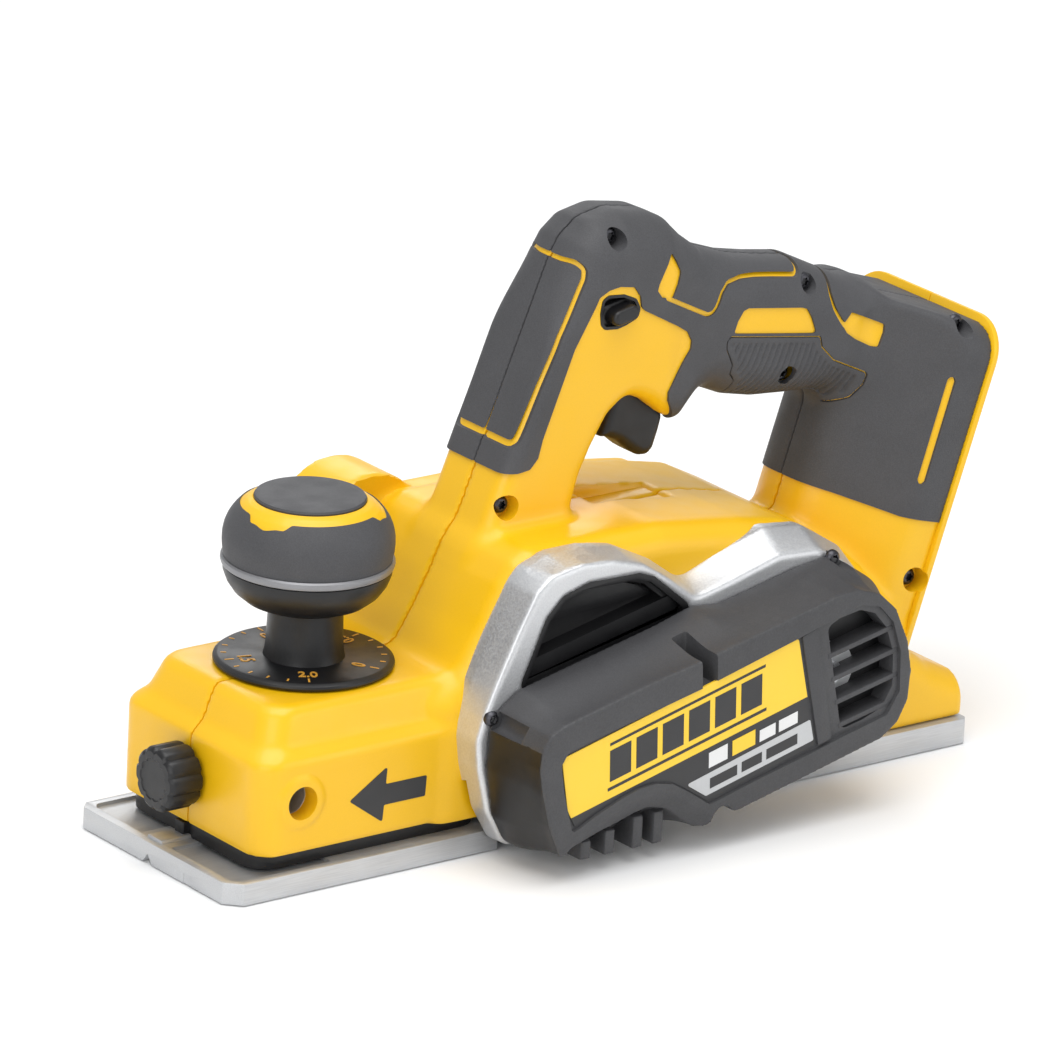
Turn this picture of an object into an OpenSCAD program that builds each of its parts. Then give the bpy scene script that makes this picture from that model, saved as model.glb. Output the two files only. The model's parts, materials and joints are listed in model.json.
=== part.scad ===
// Cordless electric hand planer: cutter drum between two shoes, motor behind it, belt drive on the
// near side, D-handle on top and a battery slide at the back.
// Lengths are in millimetres. X runs from the toe to the heel, Y from the belt side to the far side
// and Z up from the soles. Places are written from the toe; place() then puts the origin at the
// centre of the rear sole.

/* [Soles] */
// Length over both shoes, toe to heel
sole_length = 292; // [280:1:340]
// Width of the shoes
shoe_w = 83; // [76:0.5:104]
// Thickness of the front shoe
front_shoe_t = 7; // [5:0.5:8]
// Thickness of the rear shoe
rear_shoe_t = 8.4; // [6:0.2:10]
// Depth of the edge-chamfering groove in the front sole
groove_depth = 3; // [1.5:0.5:4]
// Greatest rise of the front shoe, which is the planing depth
depth_max = 2; // [1:0.25:2.5]

/* [Cutter drum] */
// Distance from the toe to the drum axis
drum_x = 116; // [112:1:124]
// Radius of the circle that the blade edges sweep
cut_r = 26; // [24:0.5:27]
// Length of the blades
blade_len = 82; // [75:1:103]
// Radius of the drum shaft
drum_shaft_r = 6; // [5:0.5:7]
// Radius of the drum pulley
drum_pulley_r = 14; // [12:0.5:15]

/* [Motor] */
// Height of the motor axis over the soles
motor_z = 48.5; // [46:0.5:52]
// Distance from the drum axis back to the motor axis
motor_back = 93; // [90:1:100]
// Outer radius of the stator
stator_r = 25; // [20:0.5:26]
// Radius of the rotor
rotor_r = 14; // [11:0.5:15]
// Radius of the motor shaft
motor_shaft_r = 4; // [3:0.25:5]
// Radius of the motor pulley
motor_pulley_r = 10; // [8:0.5:12]

/* [Housing] */
// Wall of the clamshells
wall = 3; // [2:0.25:3.5]
// Height of the front block's flat top
block_top = 57.5; // [54:0.5:60]
// Height of the body's flat top
body_top = 94.5; // [92:0.5:98]
// How far the far side stands out past the shoes
far_bulge = 12.5; // [8:0.5:16]

/* [Handle] */
// Distance from the toe to the foot of the front column
handle_x = 110; // [106:1:116]
// Height of the nose over the soles
nose_z = 190.5; // [188:0.5:200]
// Width of the grip
grip_w = 35; // [30:0.5:40]
// Thickness of the soft overmould
skin_t = 2; // [1:0.25:2.5]
// Lean of the rear column from upright, in degrees
column_lean = 17.9; // [15:0.1:20]
// Width of the battery plate
plate_w = 74; // [66:0.5:76]

/* [Depth knob] */
// Distance from the toe to the knob axis
knob_x = 54.5; // [52:0.5:58]
// Radius of the depth dial
dial_r = 28.5; // [24:0.5:30]
// Radius of the ball grip at its widest
ball_r = 27; // [22:0.5:32]
// Radius of the stem under the ball
stem_r = 12; // [9:0.5:14]
// Radius of the threaded spindle
spindle_r = 6; // [4:0.5:7]

/* [Fence clamp] */
// Radius of the bore for the fence rod
rod_bore_r = 5.35; // [4:0.05:6]
// Height of the rod bore over the soles
rod_z = 29; // [28:0.5:31]
// Radius of the thumb knob
thumb_r = 10.5; // [8:0.5:12]

/* [Belt cover] */
// Depth of the belt cover
cover_depth = 27; // [24:0.5:32]
// Wall of the belt cover
cover_wall = 2.5; // [1.5:0.25:3]
// Number of vent slots
vent_count = 5; // [3:1:6]

/* [Chip outlet] */
// Radius of the round dust port
port_r = 17.5; // [14:0.5:19]

/* [Hidden] */
$fn = 64;

fit = 0.05;                                     // running clearance on a pin or shaft
gap = 0.3;                                      // clearance between moving pieces
big = 500;                                      // larger than the whole planer
half_w = shoe_w / 2;
mouth_front = drum_x - 14;                      // rear edge of the front sole
mouth_rear = drum_x + 12;                       // front edge of the rear sole
origin_x = (mouth_rear + sole_length) / 2;
drum_z = cut_r;
drum_r = cut_r - 2.2;
drum_len = blade_len;
chamber_r = cut_r + 2;
motor_x = drum_x + motor_back;

side_y = half_w - 2.5;                          // outer face of the clamshells, near and far
far_y = half_w + far_bulge;                     // outer face of the far pod
plate_y = half_w + 8.5;                         // outer face of the drum bracket
cover_y = plate_y + cover_depth;                // outer face of the belt cover
belt_y = plate_y + 13;                          // middle of the belt
belt_w = 10;
belt_t = 2.5;
block_bottom = front_shoe_t + depth_max + 3;
block_front = 12;

body_colour = [0.98, 0.75, 0.05];
soft_colour = [0.3, 0.3, 0.31];
black_colour = [0.1, 0.1, 0.1];
cover_colour = [0.2, 0.2, 0.21];
cast_colour = [0.78, 0.79, 0.8];
steel_colour = [0.55, 0.56, 0.58];

// ---------------------------------------------------------------- helpers
module place() translate([-origin_x, 0, 0]) children();
// Extrudes a side outline, drawn as (x, z), from y0 to y1.
module across(y0, y1) translate([0, y1, 0]) rotate([90, 0, 0]) linear_extrude(y1 - y0) children();
module rod_y(x, z, r, y0, y1) translate([x, y0, z]) rotate([-90, 0, 0]) cylinder(r=r, h=y1 - y0);
module rod_x(y, z, r, x0, x1) translate([x0, y, z]) rotate([0, 90, 0]) cylinder(r=r, h=x1 - x0);
module rod_z(x, y, r, z0, z1) translate([x, y, z0]) cylinder(r=r, h=z1 - z0);
module block(x0, x1, y0, y1, z0, z1) translate([x0, y0, z0]) cube([x1 - x0, y1 - y0, z1 - z0]);
module near_half() intersection() { children(); block(-big, big, -big, 0, -big, big); }
module far_half() intersection() { children(); block(-big, big, 0, big, -big, big); }
module rounded(x0, x1, y0, y1, r)
    translate([x0 + r, y0 + r]) offset(r=r) square([x1 - x0 - 2 * r, y1 - y0 - 2 * r]);

// A helical spring along +Z, swept with six-sided rings.
module coil(r, wire, height, turns) {
    steps = turns * 14;
    function centre(i) = let (a = 360 * turns * i / steps) [r * cos(a), r * sin(a), height * i / steps];
    function ring(i) = let (a = 360 * turns * i / steps) [for (k = [0:5])
        centre(i) + wire * [cos(60 * k) * cos(a), cos(60 * k) * sin(a), sin(60 * k)]];
    points = [for (i = [0:steps]) each ring(i)];
    sides = [for (i = [0:steps - 1], k = [0:5])
        [6 * i + k, 6 * i + (k + 1) % 6, 6 * i + 6 + (k + 1) % 6, 6 * i + 6 + k]];
    caps = [[5, 4, 3, 2, 1, 0], [for (k = [0:5]) 6 * steps + k]];
    polyhedron(points, concat(sides, caps));
}

// ---------------------------------------------------------------- body outlines (x, z)
heel_x = sole_length;
function body_points() = [
    [block_front + 72, block_bottom], [block_front + 72, block_top - 2], [drum_x - 26, block_top],
    [drum_x - 14, body_top - 11], [drum_x - 8, body_top - 2.5], [drum_x - 3, body_top],
    [motor_x - 44, body_top], [motor_x - 9, body_top - 4.5], [motor_x + 9, body_top - 8],
    [motor_x + 23, body_top - 15], [heel_x - 42, body_top - 28.5], [heel_x - 28, body_top - 47],
    [heel_x - 19, rear_shoe_t + 24], [heel_x - 3, rear_shoe_t + 15], [heel_x, rear_shoe_t + 13],
    [heel_x, rear_shoe_t], [mouth_rear + 11, rear_shoe_t], [mouth_rear + 11, block_bottom]
];
function pod_points() = [
    [drum_x - 6, block_bottom + 2], [drum_x - 20, block_bottom + 10], [drum_x - 22, block_top - 8],
    [drum_x - 14, body_top - 14], [drum_x - 5, body_top - 4], [motor_x - 44, body_top - 4],
    [motor_x + 6, body_top - 11], [motor_x + 27, body_top - 25], [motor_x + 30, motor_z - 4],
    [motor_x + 20, block_bottom + 9], [motor_x - 12, block_bottom + 2]
];

// ---------------------------------------------------------------- handle
grip_half = grip_w / 2;
front_slope = tan(23);                           // lean of the front column
nose = nose_z - 190.5;                           // how far the grip sits over its usual height
column_x = sole_length - 10.1;                   // rear plane where it crosses column_z
column_z = 76;
column_depth = 42;                               // from the rear plane to the front of the column
back = column_x - 281.9;                         // how far the column sits behind its usual place
lead = handle_x - 110;

function handle_points() = [
    [handle_x - 4, body_top - 6], [handle_x, body_top],
    [handle_x + (177 + nose - body_top) * front_slope - 2, 177 + nose],
    [146 + lead, 184.5 + nose], [154 + lead, 189 + nose], [163 + lead, nose_z],
    [175 + lead, nose_z - 1.8], [184 + lead, nose_z - 5.5], [190.5 + lead, nose_z - 12],
    [198.5 + lead, nose_z - 18], [213 + lead, nose_z - 23], [238 + back, nose_z - 27.5],
    [255 + back, nose_z - 35.5], [268 + back, nose_z - 40.5], [266 + back, 118 + nose],
    [240 + back, 118 + nose], [221 + lead, 120 + nose], [210 + lead, 122.5 + nose],
    [199 + lead, 127 + nose], [193 + lead, 122 + nose], [187 + lead, 118.4 + nose],
    [164.2 + lead, 129.9 + nose], [157 + lead, 123 + nose], [151.3 + lead, 114 + nose],
    [146 + lead, body_top], [146 + lead, body_top - 6]
];
function column_points() = [
    [228 + back, 70], [236 + back, 88], [240 + back, 118 + nose],
    [240 + back, nose_z - 29], [255 + back, nose_z - 35.5], [268 + back, nose_z - 40.5],
    [285 + back, nose_z - 45], [299 + back, nose_z - 49], [303 + back, nose_z - 51.5],
    [column_x - (column_z - 36) * tan(column_lean), 36], [heel_x - 42, 40]
];
// Which part of the handle the soft overmould covers.
function soft_points() = [
    [95, 107], [95, 240 + nose], [340, 240 + nose], [340, 77], [280 + back, 75],
    [257.6 + back, 82.4], [243 + back, 88], [218 + back, 99],
    [218 + back, 112 + nose], [187.5 + lead, 112 + nose], [186.5 + lead, 119 + nose],
    [185.5 + lead, 129 + nose], [193 + lead, 140.7 + nose], [191.7 + lead, 147.4 + nose],
    [175 + lead, 156.5 + nose], [170 + lead, 162.5 + nose], [162 + lead, 167 + nose],
    [153 + lead, 160 + nose], [132 + lead, 109]
];

// Handle bar: the full outline in the middle and a smaller one out to the cheeks.
module handle_bar(inset) {
    across(-grip_half + 4.5 + inset, grip_half - 4.5 - inset)
        offset(delta=-inset) polygon(handle_points());
    across(-grip_half + inset, grip_half - inset) offset(delta=-4 - inset) polygon(handle_points());
}
// Places children in the leaning frame of the rear column: x out of its back, z along it.
module column_frame() translate([column_x, 0, column_z]) rotate([0, column_lean, 0]) children();
module column_prism(inset) {
    half = plate_w / 2 - inset;
    front = grip_half - inset;
    column_frame() translate([0, 0, -60]) linear_extrude(150) polygon([
        [-inset, -half], [-inset, half], [-3 - inset, half], [-22, 26 - inset], [-34, front],
        [-column_depth + inset, front - 8], [-column_depth + inset, -front + 8],
        [-34, -front], [-22, -26 + inset], [-3 - inset, -half]
    ]);
}
module column_bar(inset) intersection() {
    column_prism(inset);
    across(-plate_w, plate_w) offset(delta=-inset) polygon(column_points());
}
module handle_solid(inset) {
    handle_bar(inset);
    column_bar(inset);
}
module skin_room() difference() {
    across(-big, big) polygon(soft_points());
    handle_solid(skin_t);
    column_frame() block(-3.2, 60, -big, big, -big, big);
}
module skin() difference() {
    intersection() {
        handle_solid(0);
        skin_room();
    }
    handle_cuts();
}

// ---------------------------------------------------------------- trigger and lock button
trigger_x = 175 + lead;
trigger_z = 134.5 + nose;
trigger_w = 14;
trigger_pin_r = 2;
lock_x = 160 + lead;
lock_z = 160.5 + nose;
lock_r = 4.2;
lock_travel = 3;

module trigger_slot() across(-trigger_w / 2 - gap, trigger_w / 2 + gap) polygon([
    [trigger_x - 15, trigger_z - 34], [trigger_x - 10, trigger_z - 2],
    [trigger_x - 8, trigger_z + 6], [trigger_x + 10, trigger_z + 6], [trigger_x + 15, trigger_z - 10],
    [trigger_x + 16.5, trigger_z - 34]
]);

// ---------------------------------------------------------------- screws in the clamshells
screw_r = 2;
head_r = 3.6;
// Each screw: place (x, z) and the depth y of its head below the near side.
function housing_screw_places() = [
    [157.7 + lead, nose_z - 7.5, grip_half - 5], [236.9 + back, nose_z - 34, grip_half - 3],
    [229.3 + back, 127.5 + nose, grip_half - 3], [118.5 + lead, 102, grip_half - 4],
    [heel_x - 19.5, 50, side_y - 6.5]
];
screw_len = grip_half + 6.5;
module screw_shape(x, z, y) {
    rod_y(x, z, head_r, -y, -y + 2.5);
    rod_y(x, z, screw_r, -y, -y + screw_len);
}
module screw_holes() for (s = housing_screw_places()) {
    rod_y(s[0], s[1], head_r + gap, -big, -s[2] + 2.5);
    rod_y(s[0], s[1], screw_r, -s[2], -s[2] + screw_len);
}
module screw_bosses() for (s = housing_screw_places())
    rod_y(s[0], s[1], head_r + 2.2, -s[2] - 1, -s[2] + screw_len + 2);

module handle_cuts() {
    trigger_slot();
    rod_y(lock_x, lock_z, lock_r + fit, -big, big);
    screw_holes();
}

// ---------------------------------------------------------------- chip outlet
duct_x = drum_x - 15;
duct_wall = 1.8;
port_x = drum_x - 10;
port_z = body_top - 16.5;
throat_y = drum_len / 2 - 6;
duct_end = 18;
tube_x = drum_x - 1;
tube_z = body_top - 24.5;
tube_r = 15;
duct_rise = body_top - 94.5;
function duct_points() = [
    [duct_x, 58 + duct_rise], [duct_x + 3.5, 66 + duct_rise], [duct_x + 12.4, 81.6 + duct_rise],
    [duct_x + 20.3, 87 + duct_rise], [duct_x + 43.4, 87 + duct_rise],
    [duct_x + 52.8, 83.3 + duct_rise], [duct_x + 65.5, 74 + duct_rise],
    [duct_x + 31, 65 + duct_rise]
];
module duct_channel(inset, overrun)
    across(-plate_y - overrun, duct_end - inset) offset(delta=-inset) polygon(duct_points());
module duct_tube(inset, overrun)
    rod_y(tube_x, tube_z, tube_r - inset, duct_end - 2 * duct_wall, far_y - 6 + overrun);
module duct_solid(inset, overrun) {
    duct_channel(inset, overrun);
    duct_tube(inset, overrun);
}
module throat(inset) {
    y = throat_y - inset;
    block(drum_x - 12 + inset, drum_x + 9 - inset, -y, min(y, duct_end - duct_wall - inset),
          drum_z + chamber_r - 4, 64 + duct_rise);
}

// ---------------------------------------------------------------- shafts and bearings
drum_bearing_r = 13;
motor_bearing_r = 11;
bearing_w = 7;
far_bearing_y = half_w + 1.5;
near_bearing_y = -plate_y + 1;
module drum_bores(clear) {
    rod_y(drum_x, drum_z, drum_bearing_r + clear, near_bearing_y, near_bearing_y + bearing_w);
    rod_y(drum_x, drum_z, drum_bearing_r + clear, far_bearing_y, far_bearing_y + bearing_w);
}
motor_far_y = 34;
module motor_bores(clear) {
    rod_y(motor_x, motor_z, motor_bearing_r + clear, near_bearing_y, near_bearing_y + bearing_w);
    rod_y(motor_x, motor_z, motor_bearing_r + clear, motor_far_y, motor_far_y + bearing_w);
}

// ---------------------------------------------------------------- clamshells
module front_block(inset) {
    front = block_front + inset;
    w = side_y - inset;
    top = block_top - inset;
    low = inset > 0 ? block_bottom - 5 : block_bottom;
    intersection() {
        across(-big, big) polygon([
            [front, low], [front, block_top - 14.5], [front + 4, block_top - 11.5],
            [front + 8.5, top], [drum_x - 26 - inset, top], [drum_x - 26 - inset, low]
        ]);
        translate([0, 0, low]) linear_extrude(big) rounded(front, drum_x, -w, w, 9);
        rotate([90, 0, 90]) linear_extrude(big) polygon([
            [-w, low], [w, low], [w, block_top - 14.5], [w - 3, block_top - 11.5], [w - 7, top],
            [-w + 7, top], [-w + 3, block_top - 11.5], [-w, block_top - 14.5]
        ]);
    }
}
module body_solid() {
    intersection() {
        across(-side_y, side_y) polygon(body_points());
        translate([0, 0, -1]) linear_extrude(big) rounded(0, heel_x, -side_y, side_y, 3);
    }
    across(0, far_y) polygon(pod_points());
    rod_y(port_x, port_z, port_r + 4, side_y - 2, far_y + 6);
}
module body_cavity() {
    across(-side_y + wall, side_y - wall) offset(delta=-wall) polygon(body_points());
    across(side_y - wall - 1, far_y - wall) offset(delta=-wall) polygon(pod_points());
}
module inner_walls() intersection() {
    union() {
        rod_y(drum_x, drum_z, chamber_r + wall, -side_y, side_y);
        rod_y(drum_x, drum_z, drum_bearing_r + 4, side_y - 1, far_y);
        rod_y(motor_x, motor_z, motor_bearing_r + 3, motor_far_y - 1, far_y);
        for (y = [-18, 14]) block(motor_x - 34, motor_x + 34, y, y + wall, rear_shoe_t, motor_z);
        rod_y(port_x, port_z, port_r + 4, side_y - 10, far_y + 6);
        rod_z(knob_x, 0, spindle_r + 6, block_top - 12, block_top);
        screw_bosses();
    }
    union() { body_solid(); front_block(0); handle_solid(0); }
}
module body_cuts() {
    rod_y(drum_x, drum_z, chamber_r, -big, half_w + 1);
    rod_y(drum_x, drum_z, drum_shaft_r + gap, 0, far_y - wall - 3);
    drum_bores(0);
    rod_y(motor_x, motor_z, motor_shaft_r + gap, -big, far_y - wall);
    rod_y(motor_x, motor_z, stator_r + 0.02, -22, 22);
    rod_y(motor_x, motor_z, stator_r - 1, -big, 33);
    motor_bores(0);
    duct_solid(0, 0);
    throat(0);
    rod_y(port_x, port_z, port_r + 2, far_y - 8, far_y + 5);
    rod_y(port_x, port_z, port_r, far_y - 8, far_y + 7);
    rod_y(block_front + 15, rod_z, rod_bore_r + 2.65, -big, big);
    rod_x(0, rod_z, 3 + gap, 0, block_front + 20);
    rod_x(0, rod_z, 6.2, block_front + wall, block_front + wall + 3.5, $fn=64);
    rod_z(knob_x, 0, spindle_r + 3, 0, block_top - 2);
    rod_z(knob_x, 0, spindle_r + gap, 0, block_top + 1);
    trigger_slot();
    rod_y(trigger_x, trigger_z, trigger_pin_r, -grip_half + 3, grip_half - 3);
    rod_y(trigger_x, trigger_z, trigger_pin_r + 2, -trigger_w / 2 - 4, trigger_w / 2 + 4);
    rod_y(lock_x, lock_z, lock_r + fit, -big, big);
    for (s = [-1, 1]) rod_y(lock_x, lock_z, 7.5, s * grip_half - 3, s * grip_half + 3);
    screw_holes();
    rear_shoe_screw_holes();
}
module housing() difference() {
    union() {
        difference() {
            union() { body_solid(); front_block(0); handle_solid(0); }
            body_cavity();
            front_block(wall);
            handle_solid(skin_t + 2.5);
        }
        inner_walls();
    }
    body_cuts();
    skin_room();
}
// Where the handle shells part from the body shells.
module handle_zone() {
    across(-grip_half - 1, grip_half + 1) polygon([
        [handle_x - 12, body_top + 1], [220 + back, body_top + 1],
        [220 + back, 300], [handle_x - 12, 300]
    ]);
    across(-plate_w / 2 - 1, plate_w / 2 + 1) polygon([
        [206 + back, body_top + 1], [236 + back, 90], [262 + back, 80.6], [column_x + 30, 66],
        [column_x + 30, 300], [206 + back, 300]
    ]);
}
module body_shell() difference() { housing(); handle_zone(); }
module handle_shell() intersection() { housing(); handle_zone(); }
module left_housing() color(body_colour) place() near_half() body_shell();
module right_housing() color(body_colour) place() far_half() body_shell();
module left_handle() color(body_colour) place() near_half() handle_shell();
module right_handle() color(body_colour) place() far_half() handle_shell();
module left_overmould() color(soft_colour) place() near_half() skin();
module right_overmould() color(soft_colour) place() far_half() skin();
module housing_screws() color(steel_colour) place()
    for (s = housing_screw_places()) screw_shape(s[0], s[1], s[2]);

// ---------------------------------------------------------------- drum bracket and belt cover
function bracket_points() = [
    [drum_x - 18, 4], [drum_x - 26, 17], [drum_x - 30, 32], [drum_x - 31, 41],
    [drum_x - 28.5, 48], [drum_x - 25, 55 + duct_rise], [drum_x - 19, 66 + duct_rise],
    [drum_x - 10, 84 + duct_rise], [drum_x - 2, 91 + duct_rise], [drum_x + 10, 94 + duct_rise],
    [drum_x + 27, 93 + duct_rise], [drum_x + 41, 87.5 + duct_rise], [drum_x + 55, 77 + duct_rise],
    [motor_x - 5, 88 + duct_rise], [motor_x + 10, 86.3 + duct_rise], [motor_x + 27, 75],
    [motor_x + 32, 62], [motor_x + 30, 32], [motor_x + 14, 23], [motor_x - 8, 18],
    [drum_x + 48, 10], [drum_x + 34, 4]
];
module drum_bracket() color(cast_colour) place() difference() {
    across(-plate_y, -side_y) polygon(bracket_points());
    // room for the front shoe as it rises, and for the rear shoe
    block(-big, mouth_front + 4, -half_w - 0.7, 0, -1, front_shoe_t + depth_max + 0.7);
    block(mouth_rear - 4, big, -half_w - 0.02, 0, -1, rear_shoe_t);
    block(mouth_front, mouth_rear, -half_w - 0.7, 0, -1, drum_z);
    across(-plate_y + 3, 0) offset(delta=-4) polygon([
        [drum_x + 36, 30], [drum_x + 36, 74], [motor_x - 8, 80], [motor_x + 26, 68],
        [motor_x + 26, 34], [motor_x - 16, 22]
    ]);
    rod_y(drum_x, drum_z, chamber_r, -half_w - 0.7, 0);
    drum_bores(0);
    motor_bores(0);
    rod_y(drum_x, drum_z, drum_shaft_r + gap, -big, 0);
    rod_y(motor_x, motor_z, motor_shaft_r + gap, -big, 0);
    duct_solid(0, 1);
    for (s = cover_screw_places()) rod_y(s[0], s[1], 1.5, -big, 0);
}

function cover_points() = [
    [drum_x - 17, 8], [drum_x - 24, 18], [drum_x - 27.5, 35], [drum_x - 24, 45],
    [drum_x - 14, 51.5], [drum_x + 15, 58], [drum_x + 37, 63], [drum_x + 75, 72.5],
    [motor_x + 2, 78], [motor_x + 16, 77], [motor_x + 28, 65], [motor_x + 30.5, 45],
    [motor_x + 27.5, 32], [motor_x + 15, 25], [motor_x - 7, 20], [drum_x + 53, 9.5],
    [drum_x + 48, 5.5], [drum_x - 10, 5.5]
];
function cover_screw_places() = [
    [drum_x - 21, 37], [drum_x + 41, 60], [motor_x + 23, 66], [motor_x + 20, 32], [drum_x + 38, 10]
];
function label_points() = [
    [drum_x - 17.5, 41], [drum_x + 75, 65], [drum_x + 82, 32], [drum_x - 14, 21]
];
module belt_cover() color(cover_colour) place() difference() {
    union() {
        across(-cover_y + 4, -plate_y) polygon(cover_points());
        across(-cover_y, -plate_y) offset(delta=-3) polygon(cover_points());
        for (k = [0:2]) block(drum_x - 8 + 12 * k, drum_x - 3 + 12 * k, -cover_y, -plate_y, 3.5, 8);
    }
    difference() {
        union() {
            across(-cover_y + 4 + cover_wall, 0) offset(delta=-cover_wall) polygon(cover_points());
            across(-cover_y + cover_wall, 0) offset(delta=-3 - cover_wall) polygon(cover_points());
        }
        for (s = cover_screw_places()) rod_y(s[0], s[1], 4, -cover_y, 0);
    }
    across(-cover_y - 1, -cover_y + 1) polygon(label_points());
    for (k = [0:vent_count - 1]) across(-cover_y - 1, -cover_y + 8) polygon([
        [motor_x + 2 - 1.6 * k, 65 - 8 * k], [motor_x + 20 - 1.2 * k, 68 - 8 * k],
        [motor_x + 20 - 1.2 * k, 64.5 - 8 * k], [motor_x + 2 - 1.6 * k, 61.5 - 8 * k]
    ]);
    for (s = cover_screw_places()) {
        rod_y(s[0], s[1], 1.5, -big, 0);
        rod_y(s[0], s[1], 2.9, -big, -plate_y - 9);
    }
}
module belt_cover_screws() color(steel_colour) place() for (s = cover_screw_places()) {
    rod_y(s[0], s[1], 2.6, -plate_y - 11.5, -plate_y - 9);
    rod_y(s[0], s[1], 1.5, -plate_y - 9, -plate_y + 2);
}
module cover_label() color(body_colour) place()
    across(-cover_y + 0.2, -cover_y + 1) offset(delta=-0.3) polygon(label_points());

// ---------------------------------------------------------------- shoes
module shoe_plan(x0, x1, corner) polygon([
    [x0 + corner, -half_w], [x1, -half_w], [x1, half_w], [x0 + corner, half_w],
    [x0, half_w - corner], [x0, -half_w + corner]
]);
post_half = 13;
post_top = 42;
spring_wire = 0.7;
bush_h = 4;
bush_z = block_top - 2 - bush_h;                 // underside of the spindle bush
module front_shoe() color(cast_colour) place() difference() {
    union() {
        intersection() {
            linear_extrude(front_shoe_t) shoe_plan(0, mouth_front, 5);
            across(-big, big) polygon([
                [0, 0], [mouth_front, 0], [mouth_front, 0.8], [mouth_front - 10, front_shoe_t],
                [1.5, front_shoe_t], [0, front_shoe_t - 1.5]
            ]);
        }
        // rib over the groove, and the guide post with its webs
        block(1, block_front, -4, 10, front_shoe_t - 1, front_shoe_t + 2);
        block(knob_x - post_half, knob_x + post_half, -post_half, post_half, 1, post_top);
        for (y = [-24, 22]) block(22, drum_x - 34, y, y + 3, 1, 12);
    }
    translate([-1, 3, 0]) rotate([90, 0, 90]) linear_extrude(mouth_front + 2)
        polygon([[-groove_depth, -0.01], [groove_depth, -0.01], [0, groove_depth]]);
    rod_z(knob_x, 0, spindle_r + fit, front_shoe_t + 4, post_top + 1);
}
skirt_front = block_front + wall + gap;
skirt_y = side_y - wall - gap;
skirt_wall = 2.5;
module shoe_skirt() color(black_colour) place() difference() {
    translate([0, 0, front_shoe_t]) linear_extrude(block_bottom - front_shoe_t + 4)
        rounded(skirt_front, drum_x - 30, -skirt_y, skirt_y, 9);
    linear_extrude(block_bottom + 20)
        rounded(skirt_front + skirt_wall, drum_x - 30 - skirt_wall, -skirt_y + skirt_wall,
                skirt_y - skirt_wall, 9 - skirt_wall);
}
module shoe_spring() color(steel_colour) place() translate([knob_x, 0, post_top + spring_wire + 0.1])
    coil(spindle_r + 1.6, spring_wire, bush_z - post_top - 2 * spring_wire - 0.2, 4);

function rear_screw_places() = [
    [mouth_rear + 24, -30], [mouth_rear + 24, 30], [heel_x - 20, -30], [heel_x - 30, 32]
];
kick_x = heel_x - 30;
kick_z = rear_shoe_t - 3.6;
kick_y0 = 10;
kick_w = 8;
kick_len = 22;
module rear_shoe_screw_holes() for (p = rear_screw_places())
    rod_z(p[0], p[1], screw_r, 2, rear_shoe_t + 6);
module rear_shoe() color(cast_colour) place() difference() {
    intersection() {
        linear_extrude(rear_shoe_t) shoe_plan(mouth_rear, heel_x, 0);
        across(-big, big) polygon([
            [mouth_rear, 0], [heel_x, 0], [heel_x, rear_shoe_t],
            [mouth_rear + 11, rear_shoe_t], [mouth_rear, 0.8]
        ]);
    }
    block(kick_x - 4, kick_x + kick_len + 1, kick_y0 - gap, kick_y0 + kick_w + gap, -1, 20);
    rod_y(kick_x, kick_z, 1.5, kick_y0 - 5, kick_y0 + kick_w + 5);
    for (p = rear_screw_places()) {
        rod_z(p[0], p[1], screw_r, -1, 20);
        rod_z(p[0], p[1], 4.2, -1, 3.2);
    }
}
module rear_shoe_screws() color(steel_colour) place() for (p = rear_screw_places()) {
    rod_z(p[0], p[1], 4.2, 0.8, 3.2);
    rod_z(p[0], p[1], screw_r, 3.2, rear_shoe_t + 5.5);
}
module kickstand() color(black_colour) place() difference() {
    union() {
        rod_y(kick_x, kick_z, 3, kick_y0, kick_y0 + kick_w);
        across(kick_y0, kick_y0 + kick_w) polygon([
            [kick_x, kick_z - 2], [kick_x + kick_len - 3, kick_z - 3.4], [kick_x + kick_len, kick_z - 1],
            [kick_x + kick_len, kick_z + 1.5], [kick_x, kick_z + 3]
        ]);
    }
    rod_y(kick_x, kick_z, 1.5 + fit, 0, kick_y0 + kick_w + 1);
}
module kickstand_pin() color(steel_colour) place()
    rod_y(kick_x, kick_z, 1.5, kick_y0 - 5, kick_y0 + kick_w + 5);

// ---------------------------------------------------------------- chip outlet pieces
module chip_chute() color(black_colour) place() difference() {
    union() { duct_channel(0, 0); throat(0); }
    duct_solid(duct_wall, 1);
    throat(duct_wall);
    rod_y(drum_x, drum_z, chamber_r, -big, big);
    rod_x(0, flap_z, 1.5 + fit, flap_x0 - 3, flap_x1 + 3);
}
module chip_tube() color(black_colour) place() difference() {
    duct_tube(0, 0);
    block(-big, big, -big, duct_end, -big, big);
    duct_tube(duct_wall, 1);
    rod_y(port_x, port_z, port_r + 2, far_y - 8, far_y + 5);
}
flap_x0 = duct_x + 20;
flap_x1 = duct_x + 44;
flap_z = 82.4 + duct_rise;
flap_tilt = 38;
module diverter_flap() color(black_colour) place() translate([0, 0, flap_z])
    rotate([-flap_tilt, 0, 0]) {
        rod_x(0, 0, 1.5, flap_x0 - 2, flap_x1 + 2);
        across(-1, 1) polygon([
            [flap_x0, 0], [flap_x1, 0], [flap_x1, -9.5], [flap_x0, -15.5]
        ]);
    }
module dust_collar() color(black_colour) place() difference() {
    rod_y(port_x, port_z, port_r + 2, far_y - 8, far_y + 5);
    rod_y(port_x, port_z, port_r, far_y - 9, far_y + 6);
}

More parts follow.
